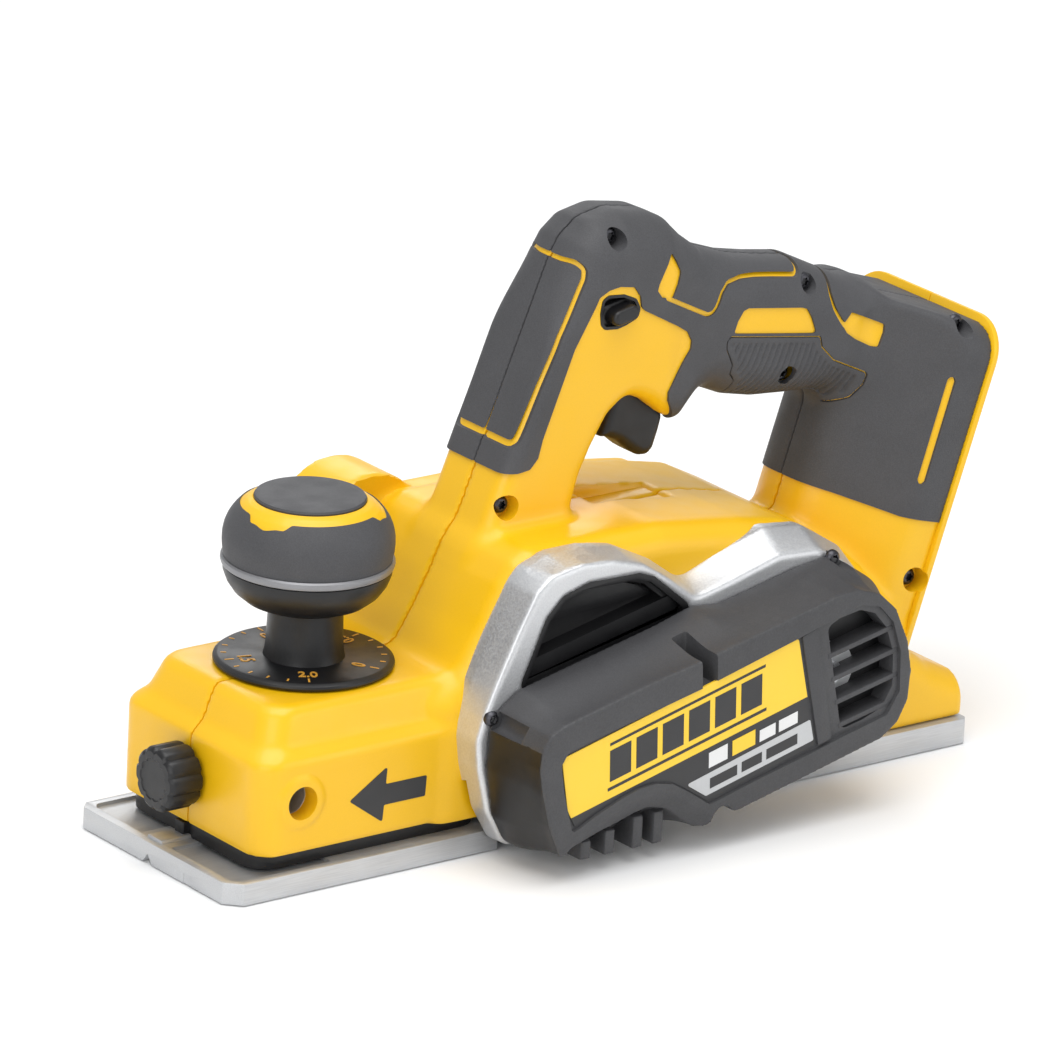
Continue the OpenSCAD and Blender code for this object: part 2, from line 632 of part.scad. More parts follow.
// ---------------------------------------------------------------- fence clamp
module fence_sleeve() color(cast_colour) place() difference() {
    rod_y(block_front + 15, rod_z, rod_bore_r + 2.65, -side_y - 0.8, side_y + 0.8);
    rod_y(block_front + 15, rod_z, rod_bore_r, -big, big);
    rod_x(0, rod_z, 3 + gap, 0, block_front + 15);
}
module clamp_nut() color(steel_colour) place() difference() {
    rod_x(0, rod_z, 6.2, block_front + wall, block_front + wall + 3.5);
    rod_x(0, rod_z, 3 + fit, 0, block_front + 20);
}
module clamp_screw() color(steel_colour) place()
    rod_x(0, rod_z, 3, block_front - 5.5, block_front + 15 - rod_bore_r - 0.5);
module thumb_knob() color(black_colour) place() difference() {
    union() {
        rod_x(0, rod_z, thumb_r - 1.5, block_front - 13.5, block_front - 0.5);
        for (k = [0:9]) rotate_about_x(36 * k)
            rod_x(thumb_r - 2.2, rod_z, 2.2, block_front - 12, block_front - 3.5);
    }
    rod_x(0, rod_z, 3, block_front - 5.5, block_front);
}
module rotate_about_x(a) translate([0, 0, rod_z]) rotate([a, 0, 0]) translate([0, 0, -rod_z]) children();

// ---------------------------------------------------------------- depth knob
dial_z = block_top + gap;
stem_z = dial_z + 2.5;
bowl_z = stem_z + 16.7;
ring_z = bowl_z + 14;
module knob_turn(points) rotate_extrude() polygon(points);
module at_knob() place() translate([knob_x, 0, 0]) children();
module spindle_bush() color([0.8, 0.65, 0.3]) at_knob() difference() {
    translate([0, 0, bush_z]) cylinder(r=spindle_r + 3, h=bush_h);
    cylinder(r=spindle_r + fit, h=big);
}
module knob_spindle() color(steel_colour) at_knob()
    translate([0, 0, front_shoe_t + depth_max + 5])
        cylinder(r=spindle_r, h=ring_z - front_shoe_t - depth_max - 5);
module depth_dial() color(black_colour) at_knob() difference() {
    knob_turn([[0, dial_z], [dial_r, dial_z], [dial_r, dial_z + 1], [dial_r - 4, stem_z], [0, stem_z]]);
    cylinder(r=spindle_r, h=big);
}
module knob_stem() color(black_colour) at_knob() difference() {
    knob_turn([[0, stem_z], [stem_r + 0.5, stem_z], [stem_r, bowl_z], [0, bowl_z]]);
    cylinder(r=spindle_r, h=big);
}
module knob_bowl() color(black_colour) at_knob() difference() {
    knob_turn([[0, bowl_z], [stem_r, bowl_z], [stem_r + 5, bowl_z + 2], [ball_r - 4, bowl_z + 7],
        [ball_r - 1, ring_z], [0, ring_z]]);
    cylinder(r=spindle_r, h=big);
}
module knob_ring() color(cast_colour) at_knob()
    knob_turn([[0, ring_z], [ball_r - 0.6, ring_z], [ball_r - 0.3, ring_z + 2.4], [0, ring_z + 2.4]]);
module knob_grip() color(soft_colour) at_knob() difference() {
    knob_turn([[0, ring_z + 2.4], [ball_r - 0.3, ring_z + 2.4], [ball_r, ring_z + 6],
        [ball_r - 1, ring_z + 11], [ball_r - 4, ring_z + 16], [ball_r - 8.5, ring_z + 20], [0, ring_z + 20]]);
    translate([0, 0, ring_z + 17.5]) cylinder(r=ball_r - 10, h=20);
}
module knob_cap() color(body_colour) at_knob()
    translate([0, 0, ring_z + 17.5]) cylinder(r=ball_r - 10, h=4);

// ---------------------------------------------------------------- cutter drum
slot_w = 9;
slot_d = 9;
blade_t = 1.2;
module on_drum() translate([drum_x, 0, drum_z]) for (a = [35, 215]) rotate([0, a, 0]) children();
module drum_slot() translate([-slot_w + blade_t, -drum_len, drum_r - slot_d])
    cube([slot_w, 2 * drum_len, 30]);
module drum_body() color(steel_colour) place() difference() {
    rod_y(drum_x, drum_z, drum_r, -drum_len / 2, drum_len / 2);
    on_drum() drum_slot();
    rod_y(drum_x, drum_z, drum_shaft_r, -big, big);
}
module drum_shaft() color(steel_colour) place() {
    rod_y(drum_x, drum_z, drum_shaft_r, -belt_y - 8, far_bearing_y + bearing_w - 0.5);
}
module drum_blades() color([0.7, 0.72, 0.75]) place() on_drum()
    translate([0, -blade_len / 2, drum_r - slot_d]) intersection() {
        cube([blade_t, blade_len, slot_d + 2]);
        rotate([-90, 0, 0]) translate([0, 0, -1]) linear_extrude(blade_len + 2)
            polygon([[0, 0], [blade_t, 0], [blade_t, -slot_d - 1.4], [0.2, -slot_d - 2], [0, -slot_d - 2]]);
    }
module blade_clamps() color([0.4, 0.41, 0.43]) place() on_drum() difference() {
    translate([-slot_w + blade_t, -blade_len / 2, drum_r - slot_d])
        cube([slot_w - blade_t, blade_len, slot_d - 1.6]);
    for (k = [-1:1]) translate([-slot_w / 2 + blade_t / 2, 28 * k, drum_r - 4])
        cylinder(r=2.2, h=10);
}
module blade_screws() color(steel_colour) place() on_drum() for (k = [-1:1])
    translate([-slot_w / 2 + blade_t / 2, 28 * k, drum_r - 4]) cylinder(r=2.2, h=2.6);
module drum_pulley() color(steel_colour) place() difference() {
    rod_y(drum_x, drum_z, drum_pulley_r, -belt_y - 6, -belt_y + 6);
    rod_y(drum_x, drum_z, drum_shaft_r, -big, big);
}
module bearing_ring(x, z, outer, inner, y0) difference() {
    rod_y(x, z, outer, y0, y0 + bearing_w);
    rod_y(x, z, inner + fit, -big, big);
}
module drum_bearings() color(steel_colour) place() {
    bearing_ring(drum_x, drum_z, drum_bearing_r, drum_shaft_r, near_bearing_y);
    bearing_ring(drum_x, drum_z, drum_bearing_r, drum_shaft_r, far_bearing_y);
}

// ---------------------------------------------------------------- belt drive and motor
module belt_outline(extra) hull() {
    translate([drum_x, drum_z]) circle(r=drum_pulley_r + extra);
    translate([motor_x, motor_z]) circle(r=motor_pulley_r + extra);
}
module drive_belt() color(black_colour) place() across(-belt_y - belt_w / 2, -belt_y + belt_w / 2)
    difference() {
        belt_outline(gap + belt_t);
        belt_outline(gap);
    }
module motor_stator() color([0.6, 0.4, 0.2]) place() difference() {
    rod_y(motor_x, motor_z, stator_r, -22, 22);
    rod_y(motor_x, motor_z, rotor_r + 0.8, -big, big);
}
module motor_rotor() color(steel_colour) place() difference() {
    rod_y(motor_x, motor_z, rotor_r, -20, 20);
    rod_y(motor_x, motor_z, motor_shaft_r, -big, big);
}
module motor_shaft() color(steel_colour) place()
    rod_y(motor_x, motor_z, motor_shaft_r, -belt_y - 8, motor_far_y + bearing_w + 1);
module motor_fan() color(black_colour) place() difference() {
    union() {
        rod_y(motor_x, motor_z, 7, -33, -24);
        rod_y(motor_x, motor_z, stator_r - 2, -26, -24);
        translate([motor_x, 0, motor_z]) for (a = [0:30:359]) rotate([0, a, 0])
            block(0, 1.2, -33, -25, 6, stator_r - 3);
    }
    rod_y(motor_x, motor_z, motor_shaft_r, -big, big);
}
module motor_pulley() color(steel_colour) place() difference() {
    rod_y(motor_x, motor_z, motor_pulley_r, -belt_y - 6, -belt_y + 6);
    rod_y(motor_x, motor_z, motor_shaft_r, -big, big);
}
module motor_bearings() color(steel_colour) place() {
    bearing_ring(motor_x, motor_z, motor_bearing_r, motor_shaft_r, near_bearing_y);
    bearing_ring(motor_x, motor_z, motor_bearing_r, motor_shaft_r, motor_far_y);
}

// ---------------------------------------------------------------- controls
module trigger() color(black_colour) place() difference() {
    across(-trigger_w / 2, trigger_w / 2) translate([trigger_x, trigger_z]) polygon([
        [-13, -18.9], [-8.3, -20.4], [-0.2, -25.6], [5.4, -28.5], [9.1, -26.5], [11.8, -19.2],
        [9, -12.5], [7, 0], [4, 4], [-4, 4], [-7, -2], [-6.1, -7.1]
    ]);
    rod_y(trigger_x, trigger_z, trigger_pin_r + fit, -big, big);
}
module trigger_pin() color(steel_colour) place()
    rod_y(trigger_x, trigger_z, trigger_pin_r, -grip_half + 3, grip_half - 3);
module trigger_spring() color(steel_colour) place()
    translate([trigger_x, trigger_w / 2 + 0.9, trigger_z]) rotate([-90, 0, 0])
        coil(trigger_pin_r + 0.8, 0.4, 2.6, 3);
module switch_module() color([0.15, 0.15, 0.16]) place()
    block(trigger_x + 12, trigger_x + 40, -8, 8, trigger_z + 2.5, trigger_z + 18);
module lock_button() color(black_colour) place()
    rod_y(lock_x, lock_z, lock_r, -grip_half - 2, grip_half + 2);
module control_module() color([0.1, 0.25, 0.15]) place() column_frame()
    block(-33, -9, -12, 12, 0, 42);

// ---------------------------------------------------------------- battery slide
rail_y = 27;
module battery_rails() color(black_colour) place() column_frame() {
    for (s = [-1, 1]) scale([1, s, 1]) {
        block(0, 4, rail_y - 5, rail_y - 2, 4, 58);
        block(4, 7, rail_y - 5, rail_y, 4, 58);
    }
}
module terminal_block() color(black_colour) place() column_frame() {
    block(0, 3, -19, 19, -14, 30);
    block(3, 8, -16, 16, -14, 8);
}
module terminal_blades() color([0.85, 0.6, 0.35]) place() column_frame()
    for (k = [-2:2]) block(4.5, 7.5, 5.5 * k - 0.4, 5.5 * k + 0.4, 8, 24);

// Three leads from the control module down to the stator.
module lead_rod(a, b, y) {
    d = b - a;
    translate([a[0], y, a[1]]) rotate([0, atan2(d[0], d[1]), 0]) cylinder(r=1.3, h=norm(d) + 0.8);
}
module motor_leads() color(black_colour) place() for (y = [-6, 0, 6]) {
    start = [column_x - 22, column_z + 6];
    bend = [column_x - 32, column_z - 13];
    lead_rod(start, bend, y);
    lead_rod(bend, [motor_x + 24, motor_z + 13], y);
}

left_housing();
right_housing();
left_handle();
right_handle();
left_overmould();
right_overmould();
drum_bracket();
belt_cover();
belt_cover_screws();
cover_label();
housing_screws();
rear_shoe();
rear_shoe_screws();
front_shoe();
shoe_skirt();
shoe_spring();
chip_chute();
chip_tube();
dust_collar();
diverter_flap();
fence_sleeve();
clamp_nut();
clamp_screw();
thumb_knob();
spindle_bush();
knob_spindle();
depth_dial();
knob_stem();
knob_bowl();
knob_ring();
knob_grip();
knob_cap();
drum_body();
drum_shaft();
drum_blades();
blade_clamps();
blade_screws();
drum_pulley();
drum_bearings();
drive_belt();
motor_stator();
motor_rotor();
motor_shaft();
motor_fan();
motor_pulley();
motor_bearings();
trigger();
trigger_pin();
trigger_spring();
switch_module();
lock_button();
control_module();
battery_rails();
terminal_block();
terminal_blades();
motor_leads();
kickstand();
kickstand_pin();
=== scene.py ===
"""Looks of a cordless hand planer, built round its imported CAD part.

Every shape is drawn in millimetres with X counted from the front edge of the front sole, Y across
the tool (negative on the belt side) and Z up from the sole. Moulded shells are drawn as distance
fields and meshed from them, turned parts are lathed, and flat parts are extruded outlines.
"""

import json
import logging
import math
from collections.abc import Callable, Sequence
from dataclasses import dataclass, field
from enum import Enum

import bmesh
import bpy
import numpy as np
from mathutils import Matrix, Vector

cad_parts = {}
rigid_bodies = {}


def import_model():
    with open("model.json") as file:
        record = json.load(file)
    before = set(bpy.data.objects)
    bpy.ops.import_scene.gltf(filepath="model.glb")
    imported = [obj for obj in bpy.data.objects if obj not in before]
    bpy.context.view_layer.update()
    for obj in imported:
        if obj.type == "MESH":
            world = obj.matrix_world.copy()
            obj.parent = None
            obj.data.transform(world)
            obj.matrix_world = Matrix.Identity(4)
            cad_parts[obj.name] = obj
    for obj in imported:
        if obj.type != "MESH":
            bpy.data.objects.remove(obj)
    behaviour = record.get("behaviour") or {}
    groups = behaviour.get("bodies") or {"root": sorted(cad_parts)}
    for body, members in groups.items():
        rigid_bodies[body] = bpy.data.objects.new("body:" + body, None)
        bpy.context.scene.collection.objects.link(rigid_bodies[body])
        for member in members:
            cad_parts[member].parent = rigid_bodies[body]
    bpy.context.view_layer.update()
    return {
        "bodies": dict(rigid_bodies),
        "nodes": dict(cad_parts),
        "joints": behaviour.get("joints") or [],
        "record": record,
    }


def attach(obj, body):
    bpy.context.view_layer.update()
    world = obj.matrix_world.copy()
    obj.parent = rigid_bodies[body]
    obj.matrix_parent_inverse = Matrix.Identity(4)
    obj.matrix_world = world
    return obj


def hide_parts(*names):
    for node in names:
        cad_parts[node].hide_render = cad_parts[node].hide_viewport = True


LOG = logging.getLogger("planer")
ORIGIN_X = 210.0
MM = 0.001

# centres on the side of the tool, as x and z in millimetres
ROD = (27.0, 29.0)
DRUM = (116.0, 26.0)
PORT = (106.0, 78.0)
TRIGGER_PIN = (175.0, 134.5)
DRUM_ROOM = 28.0
PORT_BORE = 17.5

Flat = tuple[float, float]
Point = tuple[float, float, float]
Array = np.ndarray


class Body(Enum):
    """The moving bodies of the tool."""

    HOUSING = "housing"
    KNOB = "depth_knob"
    FRONT_SHOE = "front_shoe"
    TRIGGER = "trigger"
    LOCK = "lock_button"
    CLAMP = "fence_clamp"
    KICKSTAND = "kickstand"
    DIVERTER = "diverter"


class Cut(Enum):
    """What a carving tool does to the piece it meets."""

    AWAY = "DIFFERENCE"
    KEEP = "INTERSECT"
    ADD = "UNION"


class Along(Enum):
    """The direction an outline is extruded in."""

    X = 0
    Y = 1
    Z = 2


# ------------------------------------------------------------------ flat outlines
@dataclass(frozen=True)
class Outline:
    """A closed flat outline in millimetres."""

    points: tuple[Flat, ...]

    def rounded(self, radius: float, steps: int = 5) -> "Outline":
        """The outline with its corners rounded.

        Args:
            radius: corner radius, made smaller where the sides are short.
            steps: straight pieces per corner.

        Returns:
            The rounded outline.
        """
        pts = np.array(self.points, float)
        out: list[Flat] = []
        for i, p in enumerate(pts):
            u, v = pts[i - 1] - p, pts[(i + 1) % len(pts)] - p
            lu, lv = float(np.hypot(*u)), float(np.hypot(*v))
            u, v = u / lu, v / lv
            angle = math.acos(max(-1.0, min(1.0, float(u @ v))))
            if math.pi - angle < 0.03:
                out.append((float(p[0]), float(p[1])))
                continue
            reach = min(radius / math.tan(angle / 2), 0.48 * lu, 0.48 * lv)
            r = reach * math.tan(angle / 2)
            centre = p + (u + v) / np.hypot(*(u + v)) * r / math.sin(angle / 2)
            a, b = p + u * reach - centre, p + v * reach - centre
            start = math.atan2(a[1], a[0])
            sweep = (math.atan2(b[1], b[0]) - start + math.pi) % math.tau - math.pi
            for k in range(steps + 1):
                t = start + sweep * k / steps
                out.append((float(centre[0] + r * math.cos(t)), float(centre[1] + r * math.sin(t))))
        return Outline(tuple(out))

    def grown(self, amount: float) -> "Outline":
        """The outline moved outwards everywhere.

        Args:
            amount: millimetres, inwards if negative.

        Returns:
            The new outline.
        """
        pts = np.array(self.points, float)
        area = sum(a[0] * b[1] - a[1] * b[0] for a, b in zip(pts, np.roll(pts, -1, 0)))
        side = 1.0 if area > 0 else -1.0
        out = []
        for i, p in enumerate(pts):
            a, b = p - pts[i - 1], pts[(i + 1) % len(pts)] - p
            na = np.array([a[1], -a[0]]) / np.hypot(*a) * side
            nb = np.array([b[1], -b[0]]) / np.hypot(*b) * side
            out.append(tuple(p + (na + nb) * amount / max(0.35, 1.0 + float(na @ nb))))
        return Outline(tuple((float(x), float(y)) for x, y in out))

    def shifted(self, du: float, dv: float) -> "Outline":
        """The outline moved by (du, dv)."""
        return Outline(tuple((u + du, v + dv) for u, v in self.points))

    def distance(self, u: Array, v: Array) -> Array:
        """Signed distance of points to the outline.

        Args:
            u: first coordinates.
            v: second coordinates, in a shape that broadcasts with u.

        Returns:
            Millimetres to the outline, negative inside it.
        """
        u, v = np.broadcast_arrays(np.asarray(u, np.float32), np.asarray(v, np.float32))
        best = np.full(u.shape, 1e12, np.float32)
        inside = np.zeros(u.shape, bool)
        for (au, av), (bu, bv) in zip(self.points, self.points[1:] + self.points[:1]):
            eu, ev = bu - au, bv - av
            wu, wv = u - au, v - av
            t = np.clip((wu * eu + wv * ev) / max(eu * eu + ev * ev, 1e-12), 0, 1)
            best = np.minimum(best, (wu - eu * t) ** 2 + (wv - ev * t) ** 2)
            if ev:
                inside ^= ((av <= v) != (bv <= v)) & (u < au + wv / ev * eu)
        return np.where(inside, -1, 1) * np.sqrt(best)


def round_outline(centre: Flat, radius: float, count: int = 48) -> Outline:
    """A circle as an outline."""
    return Outline(tuple((centre[0] + radius * math.cos(math.tau * k / count),
                          centre[1] + radius * math.sin(math.tau * k / count)) for k in range(count)))


def box_outline(low: Flat, high: Flat) -> Outline:
    """A rectangle as an outline."""
    return Outline((low, (high[0], low[1]), high, (low[0], high[1])))


def stroke(path: Sequence[Flat], width: float, bend: float = 3.0) -> Outline:
    """A band of constant width along a path, with round corners and ends.

    Args:
        path: the points the band runs through.
        width: width of the band.
        bend: radius of its corners.

    Returns:
        The band's outline.
    """
    pts = np.array(path, float)
    line: list[Array] = [pts[0]]
    for a, p, b in zip(pts[:-2], pts[1:-1], pts[2:]):
        u, v = (a - p) / np.hypot(*(a - p)), (b - p) / np.hypot(*(b - p))
        reach = min(bend, 0.45 * np.hypot(*(a - p)), 0.45 * np.hypot(*(b - p)))
        for t in np.linspace(0, 1, 6):
            line.append((p + u * reach) * (1 - t) ** 2 + 2 * p * t * (1 - t) + (p + v * reach) * t * t)
    line.append(pts[-1])
    run = np.array(line)
    d = np.gradient(run, axis=0)
    d /= np.hypot(d[:, 0], d[:, 1])[:, None]
    n = np.stack([-d[:, 1], d[:, 0]], 1) * width / 2
    out = [tuple(p) for p in run + n]
    for end, way in ((-1, 1.0), (0, -1.0)):
        for t in (math.pi / 3, math.pi / 2, 2 * math.pi / 3):
            out.append(tuple(run[end] + way * (n[end] * math.cos(t) + d[end] * math.sin(t) * width / 2)))
        if end:
            out += [tuple(p) for p in (run - n)[::-1]]
    return Outline(tuple((float(u), float(v)) for u, v in out))


# ------------------------------------------------------------------ distance fields
def blend(a: Array, b: Array, k: float) -> Array:
    """Union of two fields with a fillet of about k millimetres."""
    h = np.clip(0.5 + 0.5 * (b - a) / k, 0, 1)
    return b + (a - b) * h - k * h * (1 - h)


def crop(a: Array, b: Array, k: float) -> Array:
    """Intersection of two fields with an edge rounded by about k millimetres."""
    return -blend(-a, -b, k)


def slab(flat: Array, across: Array, r: Array | float) -> Array:
    """A rounded extrusion.

    Args:
        flat: distance to the outline.
        across: distance to the two end faces.
        r: radius of the edge between them.

    Returns:
        The solid's field.
    """
    p, q = flat + r, across + r
    return np.minimum(np.maximum(p, q), 0) + np.hypot(np.maximum(p, 0), np.maximum(q, 0)) - r


def ease(value: Array, start: float, end: float) -> Array:
    """0 before start, 1 after end and smooth between."""
    t = np.clip((value - start) / (end - start), 0, 1)
    return t * t * (3 - 2 * t)


@dataclass
class Region:
    """A box of space sampled on a regular grid.

    Args:
        low: lowest corner in millimetres.
        high: highest corner.
        step: grid pitch.
    """

    low: tuple[float, float, float]
    high: tuple[float, float, float]
    step: float
    x: Array = field(init=False)
    y: Array = field(init=False)
    z: Array = field(init=False)

    def __post_init__(self) -> None:
        """Lays out the grid's coordinates."""
        axes = [np.arange(a, b + self.step, self.step, dtype=np.float32) for a, b in zip(self.low, self.high)]
        self.x = axes[0][:, None, None]
        self.y = axes[1][None, :, None]
        self.z = axes[2][None, None, :]

    def side_of(self, outline: Outline) -> Array:
        """Distance to an outline drawn as (x, z), the same at every y."""
        return outline.distance(self.x[:, :, 0], self.z[0])[:, None, :]

    def mesh(self, name: str, values: Array) -> bpy.types.Object:
        """Meshes the surface where a field is zero.

        Args:
            name: the piece's name.
            values: the field over the grid, negative inside the solid.

        Returns:
            A closed object, one vertex to each grid cell that the surface crosses.
        """
        d = np.array(np.broadcast_to(values, (self.x.size, self.y.size, self.z.size)), np.float32)
        for side in (d[0], d[-1], d[:, 0], d[:, -1], d[:, :, 0], d[:, :, -1]):
            np.maximum(side, 0.5 * self.step, out=side)
        solid = d < 0
        offsets = [(i, j, k) for i in (0, 1) for j in (0, 1) for k in (0, 1)]
        nx, ny, nz = d.shape
        views = [solid[i:nx - 1 + i, j:ny - 1 + j, k:nz - 1 + k] for i, j, k in offsets]
        crossed = np.logical_or.reduce(views) & ~np.logical_and.reduce(views)
        cells = np.argwhere(crossed)
        number = np.full(crossed.shape, -1, np.int32)
        number[crossed] = np.arange(len(cells))
        corner = np.stack([d[cells[:, 0] + i, cells[:, 1] + j, cells[:, 2] + k] for i, j, k in offsets], 1)
        total, count = np.zeros((len(cells), 3)), np.zeros(len(cells))
        for a in range(8):
            for b in range(a + 1, 8):
                pa, pb = np.array(offsets[a]), np.array(offsets[b])
                if abs(pa - pb).sum() != 1:
                    continue
                va, vb = corner[:, a], corner[:, b]
                hit = (va < 0) != (vb < 0)
                t = np.where(hit, va / np.where(hit, va - vb, 1), 0)[:, None]
                total += np.where(hit[:, None], pa + t * (pb - pa), 0)
                count += hit
        verts = np.array(self.low) + (cells + total / count[:, None]) * self.step
        quads = [self._faces(solid, number, axis) for axis in range(3)]
        return make_object(name, verts, np.concatenate(quads))

    @staticmethod
    def _faces(solid: Array, number: Array, axis: int) -> Array:
        """Quads round the grid edges of one axis that the surface crosses.

        Args:
            solid: which grid points are inside.
            number: each crossed cell's vertex.
            axis: the axis of the edges.

        Returns:
            One row of four vertices for each edge.
        """
        s = np.moveaxis(solid, axis, 0)
        n = np.moveaxis(number, axis, 0)
        if axis == 1:
            s, n = s.swapaxes(1, 2), n.swapaxes(1, 2)
        flip = s[:-1, 1:-1, 1:-1] != s[1:, 1:-1, 1:-1]
        i, j, k = (a.astype(np.int64) for a in np.nonzero(flip))
        j, k = j + 1, k + 1
        quad = np.stack([n[i, j - 1, k - 1], n[i, j, k - 1], n[i, j, k], n[i, j - 1, k]], 1)
        out = s[i, j, k]
        return np.where(out[:, None], quad, quad[:, ::-1])


# ------------------------------------------------------------------ meshes
def make_object(name: str, verts: Array, faces: Array | Sequence[Sequence[int]]) -> bpy.types.Object:
    """An object from vertices in millimetres.

    Args:
        name: the piece's name.
        verts: one row of x, y, z for each vertex.
        faces: an array of quads, or any list of faces.

    Returns:
        The new object, in metres in the shared frame.
    """
    placed = (np.asarray(verts, float) - (ORIGIN_X, 0, 0)) * MM
    mesh = bpy.data.meshes.new(name)
    if isinstance(faces, np.ndarray):
        mesh.vertices.add(len(placed))
        mesh.vertices.foreach_set("co", placed.astype(np.float32).ravel())
        mesh.loops.add(faces.size)
        mesh.loops.foreach_set("vertex_index", faces.astype(np.int32).ravel())
        mesh.polygons.add(len(faces))
        mesh.polygons.foreach_set("loop_start", np.arange(0, faces.size, faces.shape[1], dtype=np.int32))
        mesh.update(calc_edges=True)
    else:
        mesh.from_pydata(placed.tolist(), [], faces)
    mesh.validate()
    obj = bpy.data.objects.new(name, mesh)
    bpy.context.scene.collection.objects.link(obj)
    return obj


def extrude(name: str, outline: Outline, start: float, end: float, along: Along = Along.Y) -> bpy.types.Object:
    """A prism of an outline.

    Args:
        name: the piece's name.
        outline: drawn as (y, z) along X, (x, z) along Y or (x, y) along Z.
        start: where it begins along that axis.
        end: where it ends.
        along: the axis.

    Returns:
        The prism.
    """
    pts = np.array(outline.points)
    n = len(pts)
    verts = np.zeros((2 * n, 3))
    rest = [a for a in range(3) if a != along.value]
    for half, level in enumerate((start, end)):
        verts[half * n:(half + 1) * n, rest] = pts
        verts[half * n:(half + 1) * n, along.value] = level
    faces = [list(range(n))[::-1], list(range(n, 2 * n))]
    faces += [[k, (k + 1) % n, n + (k + 1) % n, n + k] for k in range(n)]
    obj = make_object(name, verts, faces)
    tidy_normals(obj)
    return obj


def tool(outline: Outline, start: float, end: float, along: Along = Along.Y) -> bpy.types.Object:
    """A prism to carve with."""
    return extrude("tool", outline, start, end, along)


def lathe(name: str, profile: Sequence[Flat], centre: Point, along: Along = Along.Z,
          sides: int = 96, shape: Callable[[Array, Array], Array] | None = None) -> bpy.types.Object:
    """A turned solid.

    Args:
        name: the piece's name.
        profile: (radius, height) from one end of the axis to the other; it starts and ends at radius 0,
            or closes on itself where it has a bore.
        centre: where height 0 lies on the axis.
        along: direction of the axis.
        sides: flats round the axis.
        shape: gives a factor on the radius from the angle and the height, for flutes and lobes.

    Returns:
        The solid.
    """
    prof = np.array(profile, float)
    theta = np.arange(sides) * math.tau / sides
    bored = prof[0][0] > 1e-6
    ring_rows = prof if bored else prof[1:-1]
    verts = []
    for r, h in ring_rows:
        rr = r * (shape(theta, np.full(sides, h)) if shape else np.ones(sides))
        verts.append(np.stack([rr * np.cos(theta), rr * np.sin(theta), np.full(sides, h)], 1))
    grid = np.concatenate(verts)
    rows = len(ring_rows)
    faces: list[list[int]] = []
    for i in range(rows if bored else rows - 1):
        a, b = i * sides, ((i + 1) % rows) * sides
        faces += [[a + k, a + (k + 1) % sides, b + (k + 1) % sides, b + k] for k in range(sides)]
    if not bored:
        grid = np.concatenate([grid, [[0, 0, prof[0][1]], [0, 0, prof[-1][1]]]])
        low, top, last = len(grid) - 2, len(grid) - 1, (rows - 1) * sides
        faces += [[low, (k + 1) % sides, k] for k in range(sides)]
        faces += [[top, last + k, last + (k + 1) % sides] for k in range(sides)]
    order = {Along.Z: (0, 1, 2), Along.X: (2, 0, 1), Along.Y: (1, 2, 0)}[along]
    obj = make_object(name, grid[:, order] + np.array(centre), faces)
    tidy_normals(obj)
    return obj


def tidy_normals(obj: bpy.types.Object) -> None:
    """Turns every face outwards."""
    work = bmesh.new()
    work.from_mesh(obj.data)
    bmesh.ops.recalc_face_normals(work, faces=work.faces)
    work.to_mesh(obj.data)
    work.free()


def apply_modifiers(obj: bpy.types.Object) -> None:
    """Makes an object's modifiers part of its mesh."""
    ready = obj.evaluated_get(bpy.context.evaluated_depsgraph_get())
    mesh = bpy.data.meshes.new_from_object(ready)
    old = obj.data
    obj.modifiers.clear()
    obj.data = mesh
    bpy.data.meshes.remove(old)


def discard(*objs: bpy.types.Object) -> None:
    """Removes construction objects."""
    for obj in objs:
        mesh = obj.data
        bpy.data.objects.remove(obj)
        bpy.data.meshes.remove(mesh)


def carve(obj: bpy.types.Object, *tools: bpy.types.Object, cut: Cut = Cut.AWAY) -> bpy.types.Object:
    """Carves an object with closed tools, one after the other.

    Args:
        obj: the piece.
        tools: the tools, discarded afterwards.
        cut: what each tool does.

    Returns:
        The piece.
    """
    for tool in tools:
        mod = obj.modifiers.new("cut", "BOOLEAN")
        mod.operation, mod.solver, mod.object = cut.value, "MANIFOLD", tool
        apply_modifiers(obj)
    discard(*tools)
    return obj


def soften(obj: bpy.types.Object, width: float, segments: int = 2, angle: float = 35.0) -> bpy.types.Object:
    """Bevels the sharp edges of a piece.

    Args:
        obj: the piece.
        width: width of the bevel in millimetres.
        segments: faces across it.
        angle: edges sharper than this are bevelled, in degrees.

    Returns:
        The piece.
    """
    mod = obj.modifiers.new("bevel", "BEVEL")
    mod.width, mod.segments, mod.limit_method = width * MM, segments, "ANGLE"
    mod.angle_limit, mod.use_clamp_overlap, mod.harden_normals = math.radians(angle), True, False
    apply_modifiers(obj)
    return obj


def join(name: str, parts: Sequence[bpy.types.Object]) -> bpy.types.Object:
    """One object from several separate ones.

    Args:
        name: the piece's name.
        parts: the objects, discarded afterwards.

    Returns:
        The piece.
    """
    work = bmesh.new()
    for part in parts:
        work.from_mesh(part.data)
    mesh = bpy.data.meshes.new(name)
    work.to_mesh(mesh)
    work.free()
    discard(*parts)
    obj = bpy.data.objects.new(name, mesh)
    bpy.context.scene.collection.objects.link(obj)
    return obj


def mirrored(obj: bpy.types.Object, name: str) -> bpy.types.Object:
    """A copy of a piece mirrored to the other side of the tool.

    Args:
        obj: the piece.
        name: the copy's name.

    Returns:
        The copy.
    """
    copy = bpy.data.objects.new(name, obj.data.copy())
    copy.data.transform(Matrix.Diagonal((1, -1, 1, 1)))
    copy.data.flip_normals()
    bpy.context.scene.collection.objects.link(copy)
    return copy


